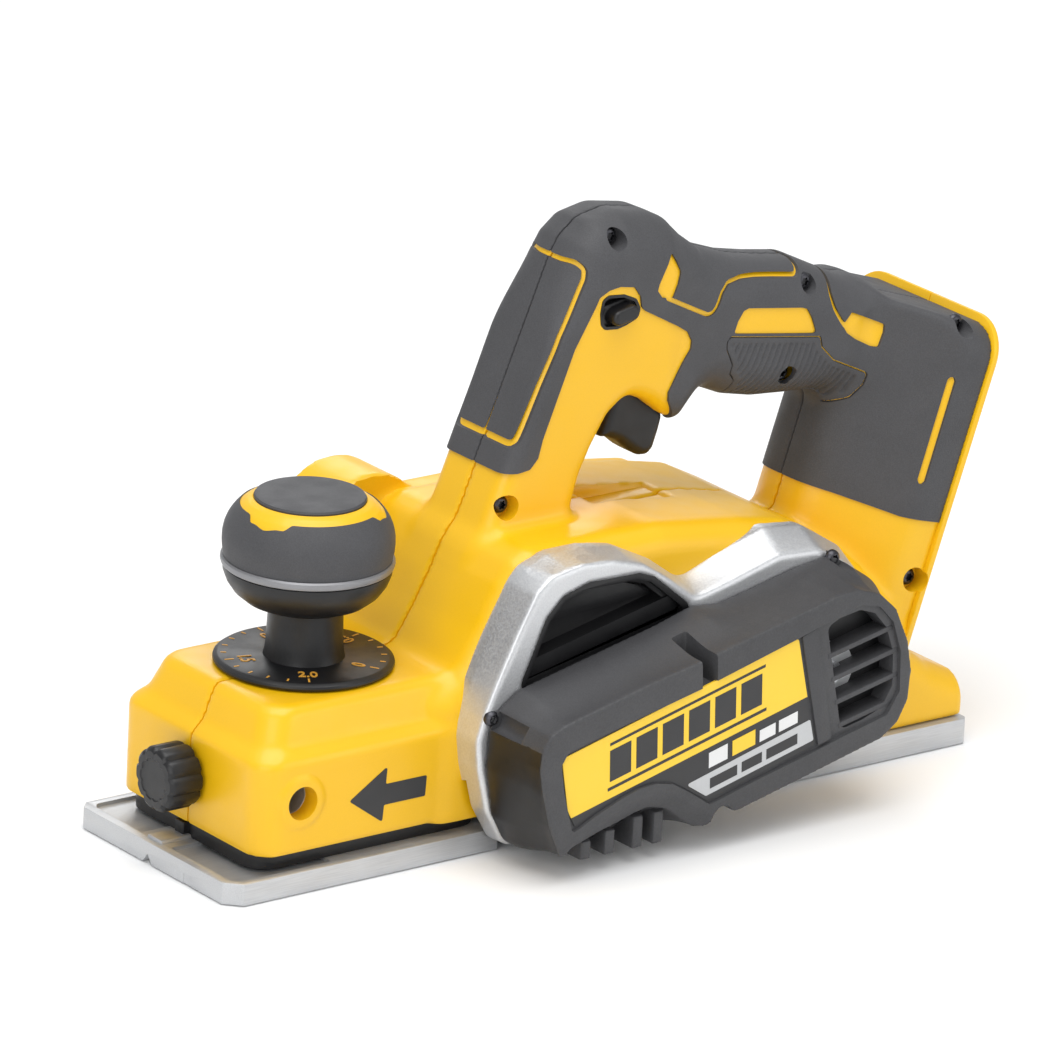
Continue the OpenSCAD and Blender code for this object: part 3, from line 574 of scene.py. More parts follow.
def turned(obj: bpy.types.Object, angle: float, pivot: Point, axis: str) -> bpy.types.Object:
    """Turns a piece's mesh about a line.

    Args:
        obj: the piece.
        angle: degrees.
        pivot: a point of the line in millimetres.
        axis: "X", "Y" or "Z".

    Returns:
        The piece.
    """
    p = Vector(((pivot[0] - ORIGIN_X) * MM, pivot[1] * MM, pivot[2] * MM))
    spin = Matrix.Rotation(math.radians(angle), 4, axis)
    obj.data.transform(Matrix.Translation(p) @ spin @ Matrix.Translation(-p))
    return obj


def install(obj: bpy.types.Object, body: Body, finish: "Finish", *nodes: str,
            angle: float = 38.0) -> bpy.types.Object:
    """Puts a finished piece on the tool.

    Args:
        obj: the piece.
        body: what it moves with.
        finish: its surface.
        nodes: the CAD nodes it stands for.
        angle: edges sharper than this stay crisp, in degrees.

    Returns:
        The piece.
    """
    obj.data.shade_smooth()
    obj.data.set_sharp_from_angle(angle=math.radians(angle))
    obj.data.materials.clear()
    obj.data.materials.append(finish.material())
    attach(obj, body.value)
    if nodes:
        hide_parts(*nodes)
    LOG.info("%s: %d faces on %s", obj.name, len(obj.data.polygons), body.value)
    return obj


# ------------------------------------------------------------------ shader arithmetic
class Wire:
    """A number that flows between shader nodes and takes ordinary arithmetic."""

    def __init__(self, bench: "Bench", socket: bpy.types.NodeSocket) -> None:
        """Holds one output socket."""
        self.bench = bench
        self.socket = socket

    def _math(self, operation: str, *inputs: "Wire | float") -> "Wire":
        """A Math node on the inputs."""
        return self.bench.node("ShaderNodeMath", {"operation": operation}, *inputs)

    def __add__(self, other: "Wire | float") -> "Wire":
        """Sum."""
        return self._math("ADD", self, other)

    __radd__ = __add__

    def __sub__(self, other: "Wire | float") -> "Wire":
        """Difference."""
        return self._math("SUBTRACT", self, other)

    def __rsub__(self, other: float) -> "Wire":
        """Difference the other way round."""
        return self._math("SUBTRACT", other, self)

    def __mul__(self, other: "Wire | float") -> "Wire":
        """Product."""
        return self._math("MULTIPLY", self, other)

    __rmul__ = __mul__

    def __truediv__(self, other: "Wire | float") -> "Wire":
        """Quotient."""
        return self._math("DIVIDE", self, other)

    def __rtruediv__(self, other: float) -> "Wire":
        """Quotient the other way round."""
        return self._math("DIVIDE", other, self)

    def __pow__(self, other: float) -> "Wire":
        """Power."""
        return self._math("POWER", self, other)

    def step(self, low: float, high: float, start: float = 0.0, end: float = 1.0) -> "Wire":
        """Smooth rise from start at low to end at high."""
        return self.bench.node("ShaderNodeMapRange", {"interpolation_type": "SMOOTHSTEP"}, self, low, high, start,
                               end)


Colour = Point


class Bench:
    """The node tree of one material."""

    def __init__(self, name: str) -> None:
        """Starts an empty material with a Principled surface."""
        self.made = bpy.data.materials.new(name)
        self.made.use_nodes = True
        self.tree = self.made.node_tree
        self.surface = self.tree.nodes["Principled BSDF"]
        self.place = self.node("ShaderNodeTexCoord", {}, output="Object")

    def node(self, kind: str, settings: dict[str, object], *inputs: "Wire | float | Sequence[float]",
             output: int | str = 0) -> Wire:
        """Adds a node.

        Args:
            kind: node type.
            settings: properties to set before its sockets.
            inputs: values or wires for its first sockets, in order.
            output: which output to take.

        Returns:
            The chosen output.
        """
        made = self.tree.nodes.new(kind)
        for key, value in settings.items():
            setattr(made, key, value)
        for socket, value in zip([s for s in made.inputs if s.enabled], inputs):
            self.feed(socket, value)
        return Wire(self, made.outputs[output])

    def feed(self, socket: bpy.types.NodeSocket, value: "Wire | float | Sequence[float]") -> None:
        """Links or sets one input socket.

        Args:
            socket: the input.
            value: a wire to link, or the value to set.
        """
        if isinstance(value, Wire):
            self.tree.links.new(value.socket, socket)
        else:
            socket.default_value = value

    def noise(self, scale: float, detail: float = 2.0, stretch: Colour = (1, 1, 1)) -> Wire:
        """Noise of so many cells to the metre, stretched along the axes."""
        vector = self.node("ShaderNodeVectorMath", {"operation": "MULTIPLY"}, self.place, stretch)
        return self.node("ShaderNodeTexNoise", {}, vector, scale, detail)

    def cells(self, scale: float) -> Wire:
        """Distance to the nearest of so many points to the metre."""
        return self.node("ShaderNodeTexVoronoi", {}, self.place, scale)

    def tint(self, factor: Wire, first: Colour, second: Colour) -> Wire:
        """A colour between two, by factor.

        Args:
            factor: 0 for the first, 1 for the second.
            first: a linear colour.
            second: another.

        Returns:
            The mixed colour.
        """
        made = self.tree.nodes.new("ShaderNodeMix")
        made.data_type = "RGBA"
        for socket, value in zip([s for s in made.inputs if s.enabled], (factor, (*first, 1), (*second, 1))):
            self.feed(socket, value)
        return Wire(self, next(s for s in made.outputs if s.enabled))

    def relief(self, height: Wire, depth: float) -> Wire:
        """A bump of depth millimetres."""
        made = self.tree.nodes.new("ShaderNodeBump")
        made.inputs["Distance"].default_value = depth * MM
        self.feed(made.inputs["Height"], height)
        return Wire(self, made.outputs["Normal"])

    def finish(self, **sockets: "Wire | float | Sequence[float]") -> bpy.types.Material:
        """Feeds the surface's sockets.

        Args:
            sockets: a value or a wire for each socket, with underscores for spaces.

        Returns:
            The finished material.
        """
        for key, value in sockets.items():
            self.feed(self.surface.inputs[key.replace("_", " ")], value)
        return self.made


# ------------------------------------------------------------------ finishes
class Slot(Enum):
    """The record's material slots."""

    BODY = "body_plastic"
    SOFT = "soft_grip"
    BLACK = "black_plastic"
    COVER = "cover_plastic"
    CAST = "cast_metal"
    SHOE = "shoe_metal"
    STEEL = "steel"
    DARK = "dark_steel"
    BRONZE = "bronze"
    PRINT = "print_plate"
    WINDING = "winding"
    CIRCUIT = "circuit"


@dataclass(frozen=True)
class Finish:
    """A surface. Each kind builds its own shader.

    Args:
        name: what the finish is called.
        slot: the record's slot that it serves.
        colour: its main colour, linear.
        rough: its mean roughness.
    """

    name: str
    slot: Slot
    colour: Colour
    rough: float

    def material(self) -> bpy.types.Material:
        """The finish's material, made once."""
        return bpy.data.materials.get(self.name) or self.build(Bench(self.name))

    def build(self, bench: Bench) -> bpy.types.Material:
        """Builds the shader."""
        raise NotImplementedError


@dataclass(frozen=True)
class Moulded(Finish):
    """Injection-moulded plastic or rubber.

    Args:
        grain: cells to the metre of the tool's spark texture.
        depth: depth of that texture in millimetres.
        shade: the colour in the texture's hollows, as a share of the main one.
        coat: strength of the gloss over it.
    """

    grain: float = 2600.0
    depth: float = 0.03
    shade: float = 0.85
    coat: float = 0.0

    def build(self, bench: Bench) -> bpy.types.Material:
        """Fine spark texture, faint flow marks and uneven gloss.

        Args:
            bench: the material's node tree.

        Returns:
            The material.
        """
        grain = bench.noise(self.grain, 3.0)
        flow = bench.noise(26.0, 2.0, (0.6, 1.0, 1.4))
        wear = bench.noise(140.0, 4.0)
        dark = (self.colour[0] * self.shade, self.colour[1] * self.shade, self.colour[2] * self.shade)
        colour = bench.tint((grain * 0.6 + flow * 0.4).step(0.3, 0.7), dark, self.colour)
        height = grain * 0.75 + wear * 0.25
        return bench.finish(
            Base_Color=colour, Roughness=wear.step(0.3, 0.7, self.rough - 0.05, self.rough + 0.05),
            Coat_Weight=self.coat, Coat_Roughness=0.12, Specular_IOR_Level=0.5,
            Normal=bench.relief(height, self.depth))


@dataclass(frozen=True)
class Cast(Finish):
    """Painted light-alloy casting with a sandy skin.

    Args:
        sand: cells to the metre of the sand texture.
        depth: its depth in millimetres.
    """

    sand: float = 1500.0
    depth: float = 0.05

    def build(self, bench: Bench) -> bpy.types.Material:
        """Sand skin, slow waviness and metallic paint.

        Args:
            bench: the material's node tree.

        Returns:
            The material.
        """
        sand = bench.noise(self.sand, 4.0)
        wave = bench.noise(60.0, 2.0)
        low = (self.colour[0] * 0.88, self.colour[1] * 0.88, self.colour[2] * 0.89)
        colour = bench.tint((sand * 0.7 + wave * 0.3).step(0.35, 0.65), low, self.colour)
        return bench.finish(
            Base_Color=colour, Metallic=0.75, Roughness=sand.step(0.3, 0.7, self.rough - 0.07, self.rough + 0.07),
            Normal=bench.relief(sand * 0.8 + wave * 0.2, self.depth))


@dataclass(frozen=True)
class Ground(Finish):
    """Machined or ground metal with marks along one direction.

    Args:
        lay: how much the marks are drawn out along each axis; small is long.
        depth: depth of the marks in millimetres.
        metal: how metallic it is.
    """

    lay: Colour = (0.03, 1.0, 1.0)
    depth: float = 0.008
    metal: float = 1.0

    def build(self, bench: Bench) -> bpy.types.Material:
        """Long tool marks over a slow patchiness.

        Args:
            bench: the material's node tree.

        Returns:
            The material.
        """
        marks = bench.noise(3200.0, 3.0, self.lay)
        patch = bench.noise(70.0, 3.0)
        low = (self.colour[0] * 0.82, self.colour[1] * 0.82, self.colour[2] * 0.83)
        colour = bench.tint((marks * 0.6 + patch * 0.4).step(0.3, 0.7), low, self.colour)
        rough = (marks * 0.5 + patch * 0.5).step(0.3, 0.7, self.rough - 0.08, self.rough + 0.08)
        return bench.finish(Base_Color=colour, Metallic=self.metal, Roughness=rough,
                            Normal=bench.relief(marks, self.depth))


@dataclass(frozen=True)
class Wound(Finish):
    """Enamelled copper wire wound in turns.

    Args:
        turns: turns to the metre.
    """

    turns: float = 900.0

    def build(self, bench: Bench) -> bpy.types.Material:
        """Rows of round wire, with painted shade in the grooves between the turns.

        Args:
            bench: the material's node tree.

        Returns:
            The material.
        """
        wave = bench.node("ShaderNodeTexWave", {"bands_direction": "Y"}, bench.place, self.turns, 0.4, 2.0,
                          output=1)
        patch = bench.noise(220.0, 2.0)
        # painted shade in the grooves between turns where the wave is low, mixed with a random patchiness of the
        # enamel
        colour = bench.tint(wave * patch.step(0.2, 0.6), (0.2, 0.06, 0.02), self.colour)
        return bench.finish(Base_Color=colour, Metallic=0.8, Roughness=patch.step(0.3, 0.7, 0.28, self.rough),
                            Normal=bench.relief(wave, 0.15))


@dataclass(frozen=True)
class Board(Finish):
    """Lacquered circuit board."""

    def build(self, bench: Bench) -> bpy.types.Material:
        """Tracks under lacquer.

        Args:
            bench: the material's node tree.

        Returns:
            The material.
        """
        track = bench.cells(380.0)
        colour = bench.tint(track.step(0.35, 0.45), (0.01, 0.05, 0.02), self.colour)
        return bench.finish(Base_Color=colour, Roughness=track.step(0.2, 0.6, self.rough - 0.1, self.rough),
                            Coat_Weight=0.5, Normal=bench.relief(track, 0.05))


YELLOW = Moulded("yellow shell plastic", Slot.BODY, (0.9, 0.51, 0.003), 0.4, 1900.0, 0.018, 0.96, 0.12)
SOFT = Moulded("soft grip rubber", Slot.SOFT, (0.07, 0.07, 0.075), 0.62, 2400.0, 0.07, 0.72)
BLACK = Moulded("black plastic", Slot.BLACK, (0.008, 0.008, 0.009), 0.42, 2200.0, 0.03, 0.8)
COVER = Moulded("cover plastic", Slot.COVER, (0.06, 0.06, 0.064), 0.55, 1700.0, 0.08, 0.75)
CAST = Cast("painted casting", Slot.CAST, (0.72, 0.73, 0.74), 0.42)
TRIM = Cast("grey trim ring", Slot.CAST, (0.3, 0.3, 0.31), 0.45, 2500.0, 0.02)
SHOE = Ground("machined sole", Slot.SHOE, (0.6, 0.61, 0.62), 0.42, metal=0.6)
STEEL = Ground("ground steel", Slot.STEEL, (0.55, 0.56, 0.58), 0.3, (1.0, 0.05, 1.0))
DARK = Ground("blackened steel", Slot.DARK, (0.09, 0.09, 0.1), 0.4, (1.0, 0.3, 1.0))
BRONZE = Ground("bronze", Slot.BRONZE, (0.7, 0.42, 0.18), 0.34, (1.0, 0.3, 1.0))
PLATE = Moulded("printed yellow", Slot.PRINT, (0.95, 0.62, 0.03), 0.4, 3000.0, 0.008, 0.97, 0.2)
INK = Moulded("dark ink", Slot.PRINT, (0.03, 0.03, 0.032), 0.45, 3000.0, 0.01, 0.9)
SILVER_INK = Moulded("silver ink", Slot.PRINT, (0.55, 0.56, 0.57), 0.35, 3000.0, 0.01, 0.93)
PALE_INK = Moulded("pale ink", Slot.PRINT, (0.8, 0.8, 0.8), 0.45, 3000.0, 0.01, 0.95)
SCALE_INK = Moulded("scale ink", Slot.BLACK, (0.85, 0.42, 0.05), 0.5, 3000.0, 0.01, 0.9)
WINDING = Wound("copper winding", Slot.WINDING, (0.8, 0.34, 0.12), 0.42)
CIRCUIT = Board("circuit board", Slot.CIRCUIT, (0.02, 0.16, 0.06), 0.4)
BY_SLOT: dict[str, Finish] = {f.slot.value: f for f in (
    YELLOW, SOFT, BLACK, COVER, CAST, SHOE, STEEL, DARK, BRONZE, PLATE, WINDING, CIRCUIT)}


# ------------------------------------------------------------------ the two clamshells and their soft skin
@dataclass
class Clamshells:
    """The yellow clamshells: front block, body, far pod, handle and rear column, with their soft skin.

    Args:
        side: half width of the body.
        pod: how far the far pod stands out.
        grip: half width of the handle.
        skin: thickness of the soft skin.
        proud: how far the skin stands over the yellow plastic.
        rear: the rear plane of the column, as x at height rear_z.
        rear_z: see rear.
        lean: lean of the column in degrees.
        seam: half the gap between the two shells.
        rod_bore: radius of the hole for the fence rod.
        port_wall: wall of the far port.
        socket: radius of the sockets that the screws in the skin sit in.
        plate: thickness of the plate at the back of the column.
        plate_half: half its width.
        plate_top: its upper edge before it leans.
        trigger_half: half the width of the room for the trigger.
        handle: side of the handle bar.
        column: side of the rear column.
        body: side of the body.
        far: side of the pod on the far side.
        block_profile: how far the block draws in at each height.
        soft: how far the skin reaches.
        recess: the cup that the lock button slides in.
        trigger_room: side of the room for the trigger.
    """

    side: float = 39.0
    pod: float = 54.0
    grip: float = 17.5
    skin: float = 1.6
    proud: float = 0.7
    rear: float = 281.9
    rear_z: float = 76.0
    lean: float = 17.9
    seam: float = 0.06
    rod_bore: float = 5.45
    port_wall: float = 3.8
    socket: float = 3.3
    plate: float = 2.2
    plate_half: float = 37.2
    plate_top: float = 142.6
    trigger_half: float = 7.6
    handle: Outline = Outline((
        (106, 80), (106, 88), (110, 95.5), (142.9, 177.3), (146.2, 183), (153, 188.4), (163, 190.4),
        (175.8, 188.3),
        (183.7, 184.7), (190.4, 178.4), (198.5, 172.4), (213, 167.4), (225, 165), (238, 163), (254.8, 155),
        (268, 150), (266, 118), (240, 118), (221, 119.6), (210, 122), (199, 126.6), (193, 122), (187.4, 117.6),
        (181, 121.5), (173.5, 127.2), (166.2, 130.6), (159.2, 125.4), (153.5, 116), (149.5, 107.5), (146, 94.5),
        (146, 80))).rounded(6.0)
    column: Outline = Outline((
        (228, 66), (236, 88), (240, 118), (240, 161.5), (255, 155), (268, 150), (285, 145.5), (297, 142.5),
        (305, 138.5), (306, 134), (270, 36), (250, 36))).rounded(5.0)
    body: Outline = Outline((
        (78, -4), (78, 50), (88, 57.5), (96.5, 71), (103.5, 84.5), (108.5, 91.5), (115, 94.6), (166, 94.6),
        (200, 90.2), (218, 86.5), (232, 79.5), (250, 66), (263, 49), (272, 33.5), (280, 27.6), (289, 23.4),
        (305, 19.5), (305, -4))).rounded(7.0)
    far: Outline = Outline((
        (110, 14), (96, 22), (94, 49.5), (102, 80.5), (111, 90.5), (165, 90.5), (215, 83.5), (236, 69.5),
        (239, 44.5), (229, 21), (197, 14))).rounded(9.0)
    block_profile: tuple[Flat, ...] = ((0, 12), (0, 41.5), (1.0, 43.2), (3.6, 45.2), (4.4, 46.4), (8.2, 56.4),
                                       (9.4, 57.6))
    soft: Outline = Outline((
        (60, 240), (340, 240), (340, 66), (279, 76.0), (266, 79.0), (249, 85.7), (235, 90.4), (216, 101.6),
        (216, 112),
        (190, 112), (184.8, 121.4), (180.6, 127.6), (180.2, 130.5), (182.4, 133.8), (186.4, 139.8),
        (189.0, 143.4),
        (189.2, 146.0), (187.4, 149.3), (183.2, 151.9), (169.2, 159.4), (167.6, 161.0), (167.0, 164.6),
        (164.4, 168.0),
        (158.7, 169.0), (154.4, 168.4), (150.7, 166.6), (149.3, 163.8), (141.8, 151), (130.9, 123.1),
        (129.4, 117.2),
        (126.4, 114.0), (121.8, 113.4), (60, 112.6)))
    recess: Outline = Outline((
        (152.0, 157.2), (153.6, 155.4), (158.7, 154.9), (162.0, 155.6), (166.6, 157.4), (167.6, 160.4),
        (165.8, 163.9),
        (160.8, 166.1), (154.5, 166.7), (152.2, 165.4), (151.5, 161.0)))
    trigger_room: Outline = Outline(((160, 90), (163.6, 130), (167, 140.5), (185, 140.5), (189.5, 124.5),
                                     (191.5, 90)))

    # -------------------------------------------------------------- fields
    def _lean(self, r: Region) -> tuple[Array, Array]:
        """Distance out of the column's rear plane, and height along it.

        Args:
            r: the grid.

        Returns:
            Both, over the grid.
        """
        c, s = math.cos(math.radians(self.lean)), math.sin(math.radians(self.lean))
        dx, dz = r.x - self.rear, r.z - self.rear_z
        return dx * c - dz * s, dx * s + dz * c

    def _bar(self, r: Region, inset: float) -> Array:
        """The handle bar: square at the front column, full and round at the nose and along the grip.

        Args:
            r: the grid.
            inset: how far the surface is drawn in.

        Returns:
            The field.
        """
        flat = r.side_of(self.handle) + inset
        round_part = np.maximum(ease(r.z, 150, 180), ease(r.x, 176, 200))
        waist = 0.9 * ease(r.x, 179, 187) * (1 - ease(r.x, 232, 262))
        swell = 0.6 * ease(r.x, 200, 212) * (1 - ease(r.x, 232, 250)) * ease(r.z, 158, 138)
        return slab(flat, np.abs(r.y) - (self.grip - inset) + waist - swell, 5.5 + 8.5 * round_part)

    def _column(self, r: Region, inset: float) -> Array:
        """The rear column: a flat plate at the back, drawn in to a narrow front.

        Args:
            r: the grid.
            inset: how far the surface is drawn in.

        Returns:
            The field.
        """
        a, b = self._lean(r)
        reach = np.linspace(-60, 10, 281)
        width = np.interp(reach, (-60, -43, -35, -23, -13, -3.5, 10), (5, 9.5, 17.0, 25.5, 34.4, 36.9, 36.9))
        width = np.convolve(np.pad(width, 12, "edge"), np.ones(25) / 25, "valid")
        half = np.interp(a, reach, width)
        sides = (np.abs(r.y) - half) * 0.86 + inset
        corner = np.hypot(np.maximum(np.abs(r.y) - 24.4, 0), np.maximum(b - 51.4, 0)) - 12.5 + inset
        flat = r.side_of(self.column) + inset
        out = crop(sides, -42.0 - a + inset, 6.0)
        out = crop(out, corner, 2.5)
        out = crop(out, flat, 3.0)
        return crop(out, a + 1.0, 0.8)

    def _plate(self, sign: int) -> bpy.types.Object:
        """Half of the plate that closes the back of the column and stands proud of the skin.

        Args:
            sign: -1 for the belt side, 1 for the far side.

        Returns:
            The half plate.
        """
        face = box_outline((sign * self.seam, 26), (sign * self.plate_half, self.plate_top))
        plate = extrude("rear_plate", face, self.rear - self.plate, self.rear, Along.X)
        round_off = tool(box_outline((-self.plate_half, 0), (self.plate_half, self.plate_top)).rounded(13.5, 12),
                            self.rear - 9, self.rear + 9, Along.X)
        carve(plate, round_off, cut=Cut.KEEP)
        soften(plate, 0.5, 2, 40)
        return turned(plate, self.lean, (self.rear, 0, self.rear_z), "Y")

    def _handle(self, r: Region, inset: float) -> Array:
        """Bar and column run into each other."""
        return blend(self._bar(r, inset), self._column(r, inset), 9.0)

    def _block(self, r: Region) -> Array:
        """The stepped front block.

        Args:
            r: the grid.

        Returns:
            The field.
        """
        levels = np.linspace(0, 80, 321)
        inset = np.interp(levels, [p[1] for p in self.block_profile], [p[0] for p in self.block_profile])
        inset = np.convolve(np.pad(inset, 5, "edge"), np.ones(11) / 11, "valid")
        draw = np.interp(r.z, levels, inset)
        c = 9.0
        qx, qy = np.abs(r.x - 72) - (60 - draw - c), np.abs(r.y) - (self.side - draw * 0.9 - c)
        plan = np.minimum(np.maximum(qx, qy), 0) + np.hypot(np.maximum(qx, 0), np.maximum(qy, 0)) - c
        block = crop(plan, r.z - 57.6, 3.0)
        return np.maximum(np.maximum(block, 12.0 - r.z), r.x - 112)

    def _shell(self, r: Region) -> Array:
        """Everything in yellow plastic.

        Args:
            r: the grid.

        Returns:
            The field.
        """
        flat = r.side_of(self.body)
        main = slab(flat, np.abs(r.y) - self.side, 9.0)
        main = crop(np.maximum(main, 8.5 - r.z), r.x - 292, 2.5)
        main = np.maximum(main, np.where(r.x < 140, 12.0 - r.z, -9.0))
        far = r.side_of(self.far)
        main = blend(main, slab(far, np.maximum(r.y - self.pod, -r.y), 7.0), 3.0)
        out = blend(main, self._block(r), 4.0)
        port = np.maximum(np.hypot(r.x - PORT[0], r.z - PORT[1]) - PORT_BORE - self.port_wall,
                          np.maximum(r.y - 60, 37 - r.y))
        out = blend(out, port, 2.5)
        out = blend(out, self._handle(r, self.proud), 5.0)
        ring = np.maximum(np.hypot(r.x - ROD[0], r.z - ROD[1]) - 8.3, np.abs(r.y) - 40.0)
        out = blend(out, ring, 1.2)
        room = np.maximum(r.side_of(self.trigger_room), np.abs(r.y) - self.trigger_half)
        return crop(out, -room, 0.8)

    # -------------------------------------------------------------- pieces
    def build(self) -> None:
        """Builds both shells, both skins and the small parts set in them."""
        self._yellow()
        self._soft()
        self._screws()

    @staticmethod
    def _holes() -> list[Point]:
        """Where the shell screws sit, those in the skin first.

        Returns:
            One row for each screw: x, z and how far its floor is from the middle.
        """
        return [(158.6, 183.7, 9.0), (237.4, 156.8, 10.0), (229.3, 127.9, 11.0), (289.0, 139.0, 25.0),
                (119.0, 102.4, 11.5), (271.0, 57.6, 30.5)]

    def _yellow(self) -> None:
        """The yellow shells."""
        for side, low, high, sign in (("left", -42.5, 2.0, -1), ("right", -2.0, 62.5, 1)):
            r = Region((9, low, 5), (311, high, 195), 1.15)
            values = crop(self._shell(r), -sign * r.y + self.seam, 0.3)
            obj = r.mesh(f"{side}_shell", values)
            plate = self._plate(sign)
            carve(obj, plate, cut=Cut.ADD)
            tools = [
                tool(round_outline(ROD, self.rod_bore), -60, 60),
                tool(box_outline((99.5, -5), (129, 30)), -33.5, 45),
                tool(round_outline(DRUM, DRUM_ROOM, 72), -33.5, 43),
                tool(round_outline(PORT, PORT_BORE, 72), 40, 70),
                tool(self.recess.rounded(2.2), *sorted((sign * 12.0, sign * 30.0))),
            ]
            if sign < 0:
                tools += [tool(round_outline((x, z), 4.1, 28), -60, -floor) for x, z, floor in self._holes()]
                tools.append(tool(self._pad().grown(-0.3), -60, -9.0))
            carve(obj, *tools)
            install(obj, Body.HOUSING, YELLOW, f"{side}_housing", f"{side}_handle")
        self._surround()
        self._arrow()

    def _surround(self) -> None:
        """The dark cups that the lock button slides in."""
        cups = []
        for sign in (-1, 1):
            cup = extrude("cup", self.recess.rounded(2.2).grown(-0.05), *sorted((sign * 12.0, sign * 17.0)))
            carve(cup, tool(self.recess.rounded(2.2).grown(-1.0), *sorted((sign * 13.4, sign * 19.0))))
            cups.append(cup)
        install(join("lock_cups", cups), Body.HOUSING, BLACK)

    @staticmethod
    def _arrow() -> None:
        """The plain arrow on the block that shows which way the tool is fed."""
        arrow = Outline(((45.4, 25.8), (59.6, 34.8), (59.2, 29.0), (75.0, 29.0), (74.6, 22.2), (58.8, 22.2),
                         (58.4, 16.6)))
        install(extrude("feed_arrow", arrow.rounded(0.5, 2), -39.14, -38.6), Body.HOUSING, INK)

    @staticmethod
    def _lines() -> list[bpy.types.Object]:
        """The tools that open the skin over yellow: thin lines, tags and the slot on the column.

        Returns:
            The tools.
        """
        loop = ((124, 177.4), (145.4, 177.4), (146.9, 175.4), (146.2, 172.6), (136.6, 155.4), (129.9, 140.6),
                (123.8, 126.4), (122.4, 123.4), (120.6, 121.6), (100, 121.2))
        wave = ((177.8, 162.2), (187.5, 157.4), (194.9, 153.8), (197.0, 154.2), (198.4, 155.9), (200.4, 160.2),
                (203.6, 162.7),
                (209.8, 163.1), (216.7, 162.5), (225.1, 161.2), (233.3, 159.9), (235.2, 161.2), (237.4, 166.0))
        rise = ((252.4, 139.6), (249.4, 143.0), (246.5, 147.8), (245.8, 152.6), (247.4, 156.4), (249.6, 161.0))
        bands = [stroke(loop, 1.6, 0.9), stroke(wave, 1.5, 1.0), stroke(rise, 1.4, 2.0)]
        tags = [
            Outline(((178.9, 177.1), (181.0, 173.9), (183.0, 170.0), (182.1, 166.2), (180.1, 162.0),
                     (175.7, 162.6),
                     (173.6, 165.3), (174.2, 167.5), (176.6, 172.3))).rounded(0.6, 3),
            Outline(((253.8, 145.4), (266.7, 139.6), (266.3, 137.0), (264.4, 132.3), (261.9, 132.8),
                     (255.1, 136.4),
                     (251.7, 138.9), (249.8, 141.8), (251.5, 143.4))).rounded(0.7, 3),
            Outline(((205.8, 145.8), (207.2, 149.6), (209.4, 152.8), (211.4, 153.4), (233.3, 150.2),
                     (235.4, 149.4),
                     (237.4, 146.1), (239.5, 140.7))).rounded(0.8, 3),
            stroke(((282.8, 122.6), (272.7, 90.5)), 2.4),
        ]
        return [tool(o, -60, 0) for o in bands + tags]

    def _soft(self) -> None:
        """The soft skin of the near side, and its mirror image on the far side."""
        r = Region((102, -39.5, 64), (308, 1.5, 193), 0.72)
        outer = self._handle(r, 0.0)
        room = np.maximum(r.side_of(self.trigger_room), np.abs(r.y) - self.trigger_half)
        a, _ = self._lean(r)
        layer = np.maximum(crop(outer, -(outer + self.skin), 0.4), a + 2.3)
        for x, z, floor in self._holes()[:4]:
            tube = np.maximum(np.hypot(r.x - x, r.z - z) - 4.0, np.maximum(outer, r.y + floor))
            layer = np.minimum(layer, tube)
        layer = np.maximum(np.maximum(layer, r.y + 0.07), -room)
        skin = r.mesh("left_skin", layer)
        carve(skin, tool(self.soft.rounded(1.2, 4), -60, 5), cut=Cut.KEEP)
        carve(skin, *self._lines())
        carve(skin, tool(self._pad().grown(0.4), -60, -8))
        right = mirrored(skin, "right_skin")
        holes = [tool(round_outline((x, z), self.socket, 28), -60, -floor - 1.0)
                 for x, z, floor in self._holes()[:4]]
        carve(skin, *holes)
        install(skin, Body.HOUSING, SOFT, "left_overmould", angle=42)
        install(right, Body.HOUSING, SOFT, "right_overmould", angle=42)
        self._rib_pads()

    @staticmethod
    def _pad() -> Outline:
        """The ribbed thumb pad under the inlay.

        Returns:
            Its outline.
        """
        return Outline(((204.8, 144.8), (241.0, 139.2), (241.9, 135.6), (247.3, 130.2), (260.2, 124.2),
                        (259.2, 120.4),
                        (255.9, 116.2), (251.0, 114.0), (240, 113), (209, 113), (208.6, 129.4), (206.2, 132.2),
                        (206.3, 135.2), (203.6, 140.8), (203.5, 143.2))).rounded(1.2, 4)

    def _rib_pads(self) -> None:
        """The ribbed pads on both sides of the grip."""
        r = Region((202.5, -20.5, 112), (263, -3.5, 147), 0.4)
        outer = self._handle(r, 0.0)
        swing = np.hypot(r.x - 172.0, r.z - 156.0)
        wave = np.abs(((swing / 2.35) % 1.0) - 0.5) * 2.35
        groove = 0.55 * ease(wave, 0.72, 0.28)
        edge = r.side_of(self._pad())
        groove = groove * ease(-edge, 1.6, 2.6)
        values = np.maximum(outer + groove + 0.05, -(outer + 2.2))
        values = np.maximum(values, edge)
        pad = r.mesh("left_ribbed_pad", values)
        right = mirrored(pad, "right_ribbed_pad")
        x, z, floor = self._holes()[2]
        carve(pad, tool(round_outline((x, z), self.socket, 28), -60, -floor - 1.0))
        install(pad, Body.HOUSING, SOFT, angle=50)
        install(right, Body.HOUSING, SOFT, angle=50)

    def _screws(self) -> None:
        """The shell screws, with six-lobed sockets."""
        screws = [screw("s", (x, -floor - 0.05, z), 2.9, 2.0, 16.0) for x, z, floor in self._holes()]
        install(join("shell_screws", screws), Body.HOUSING, DARK, "housing_screws")


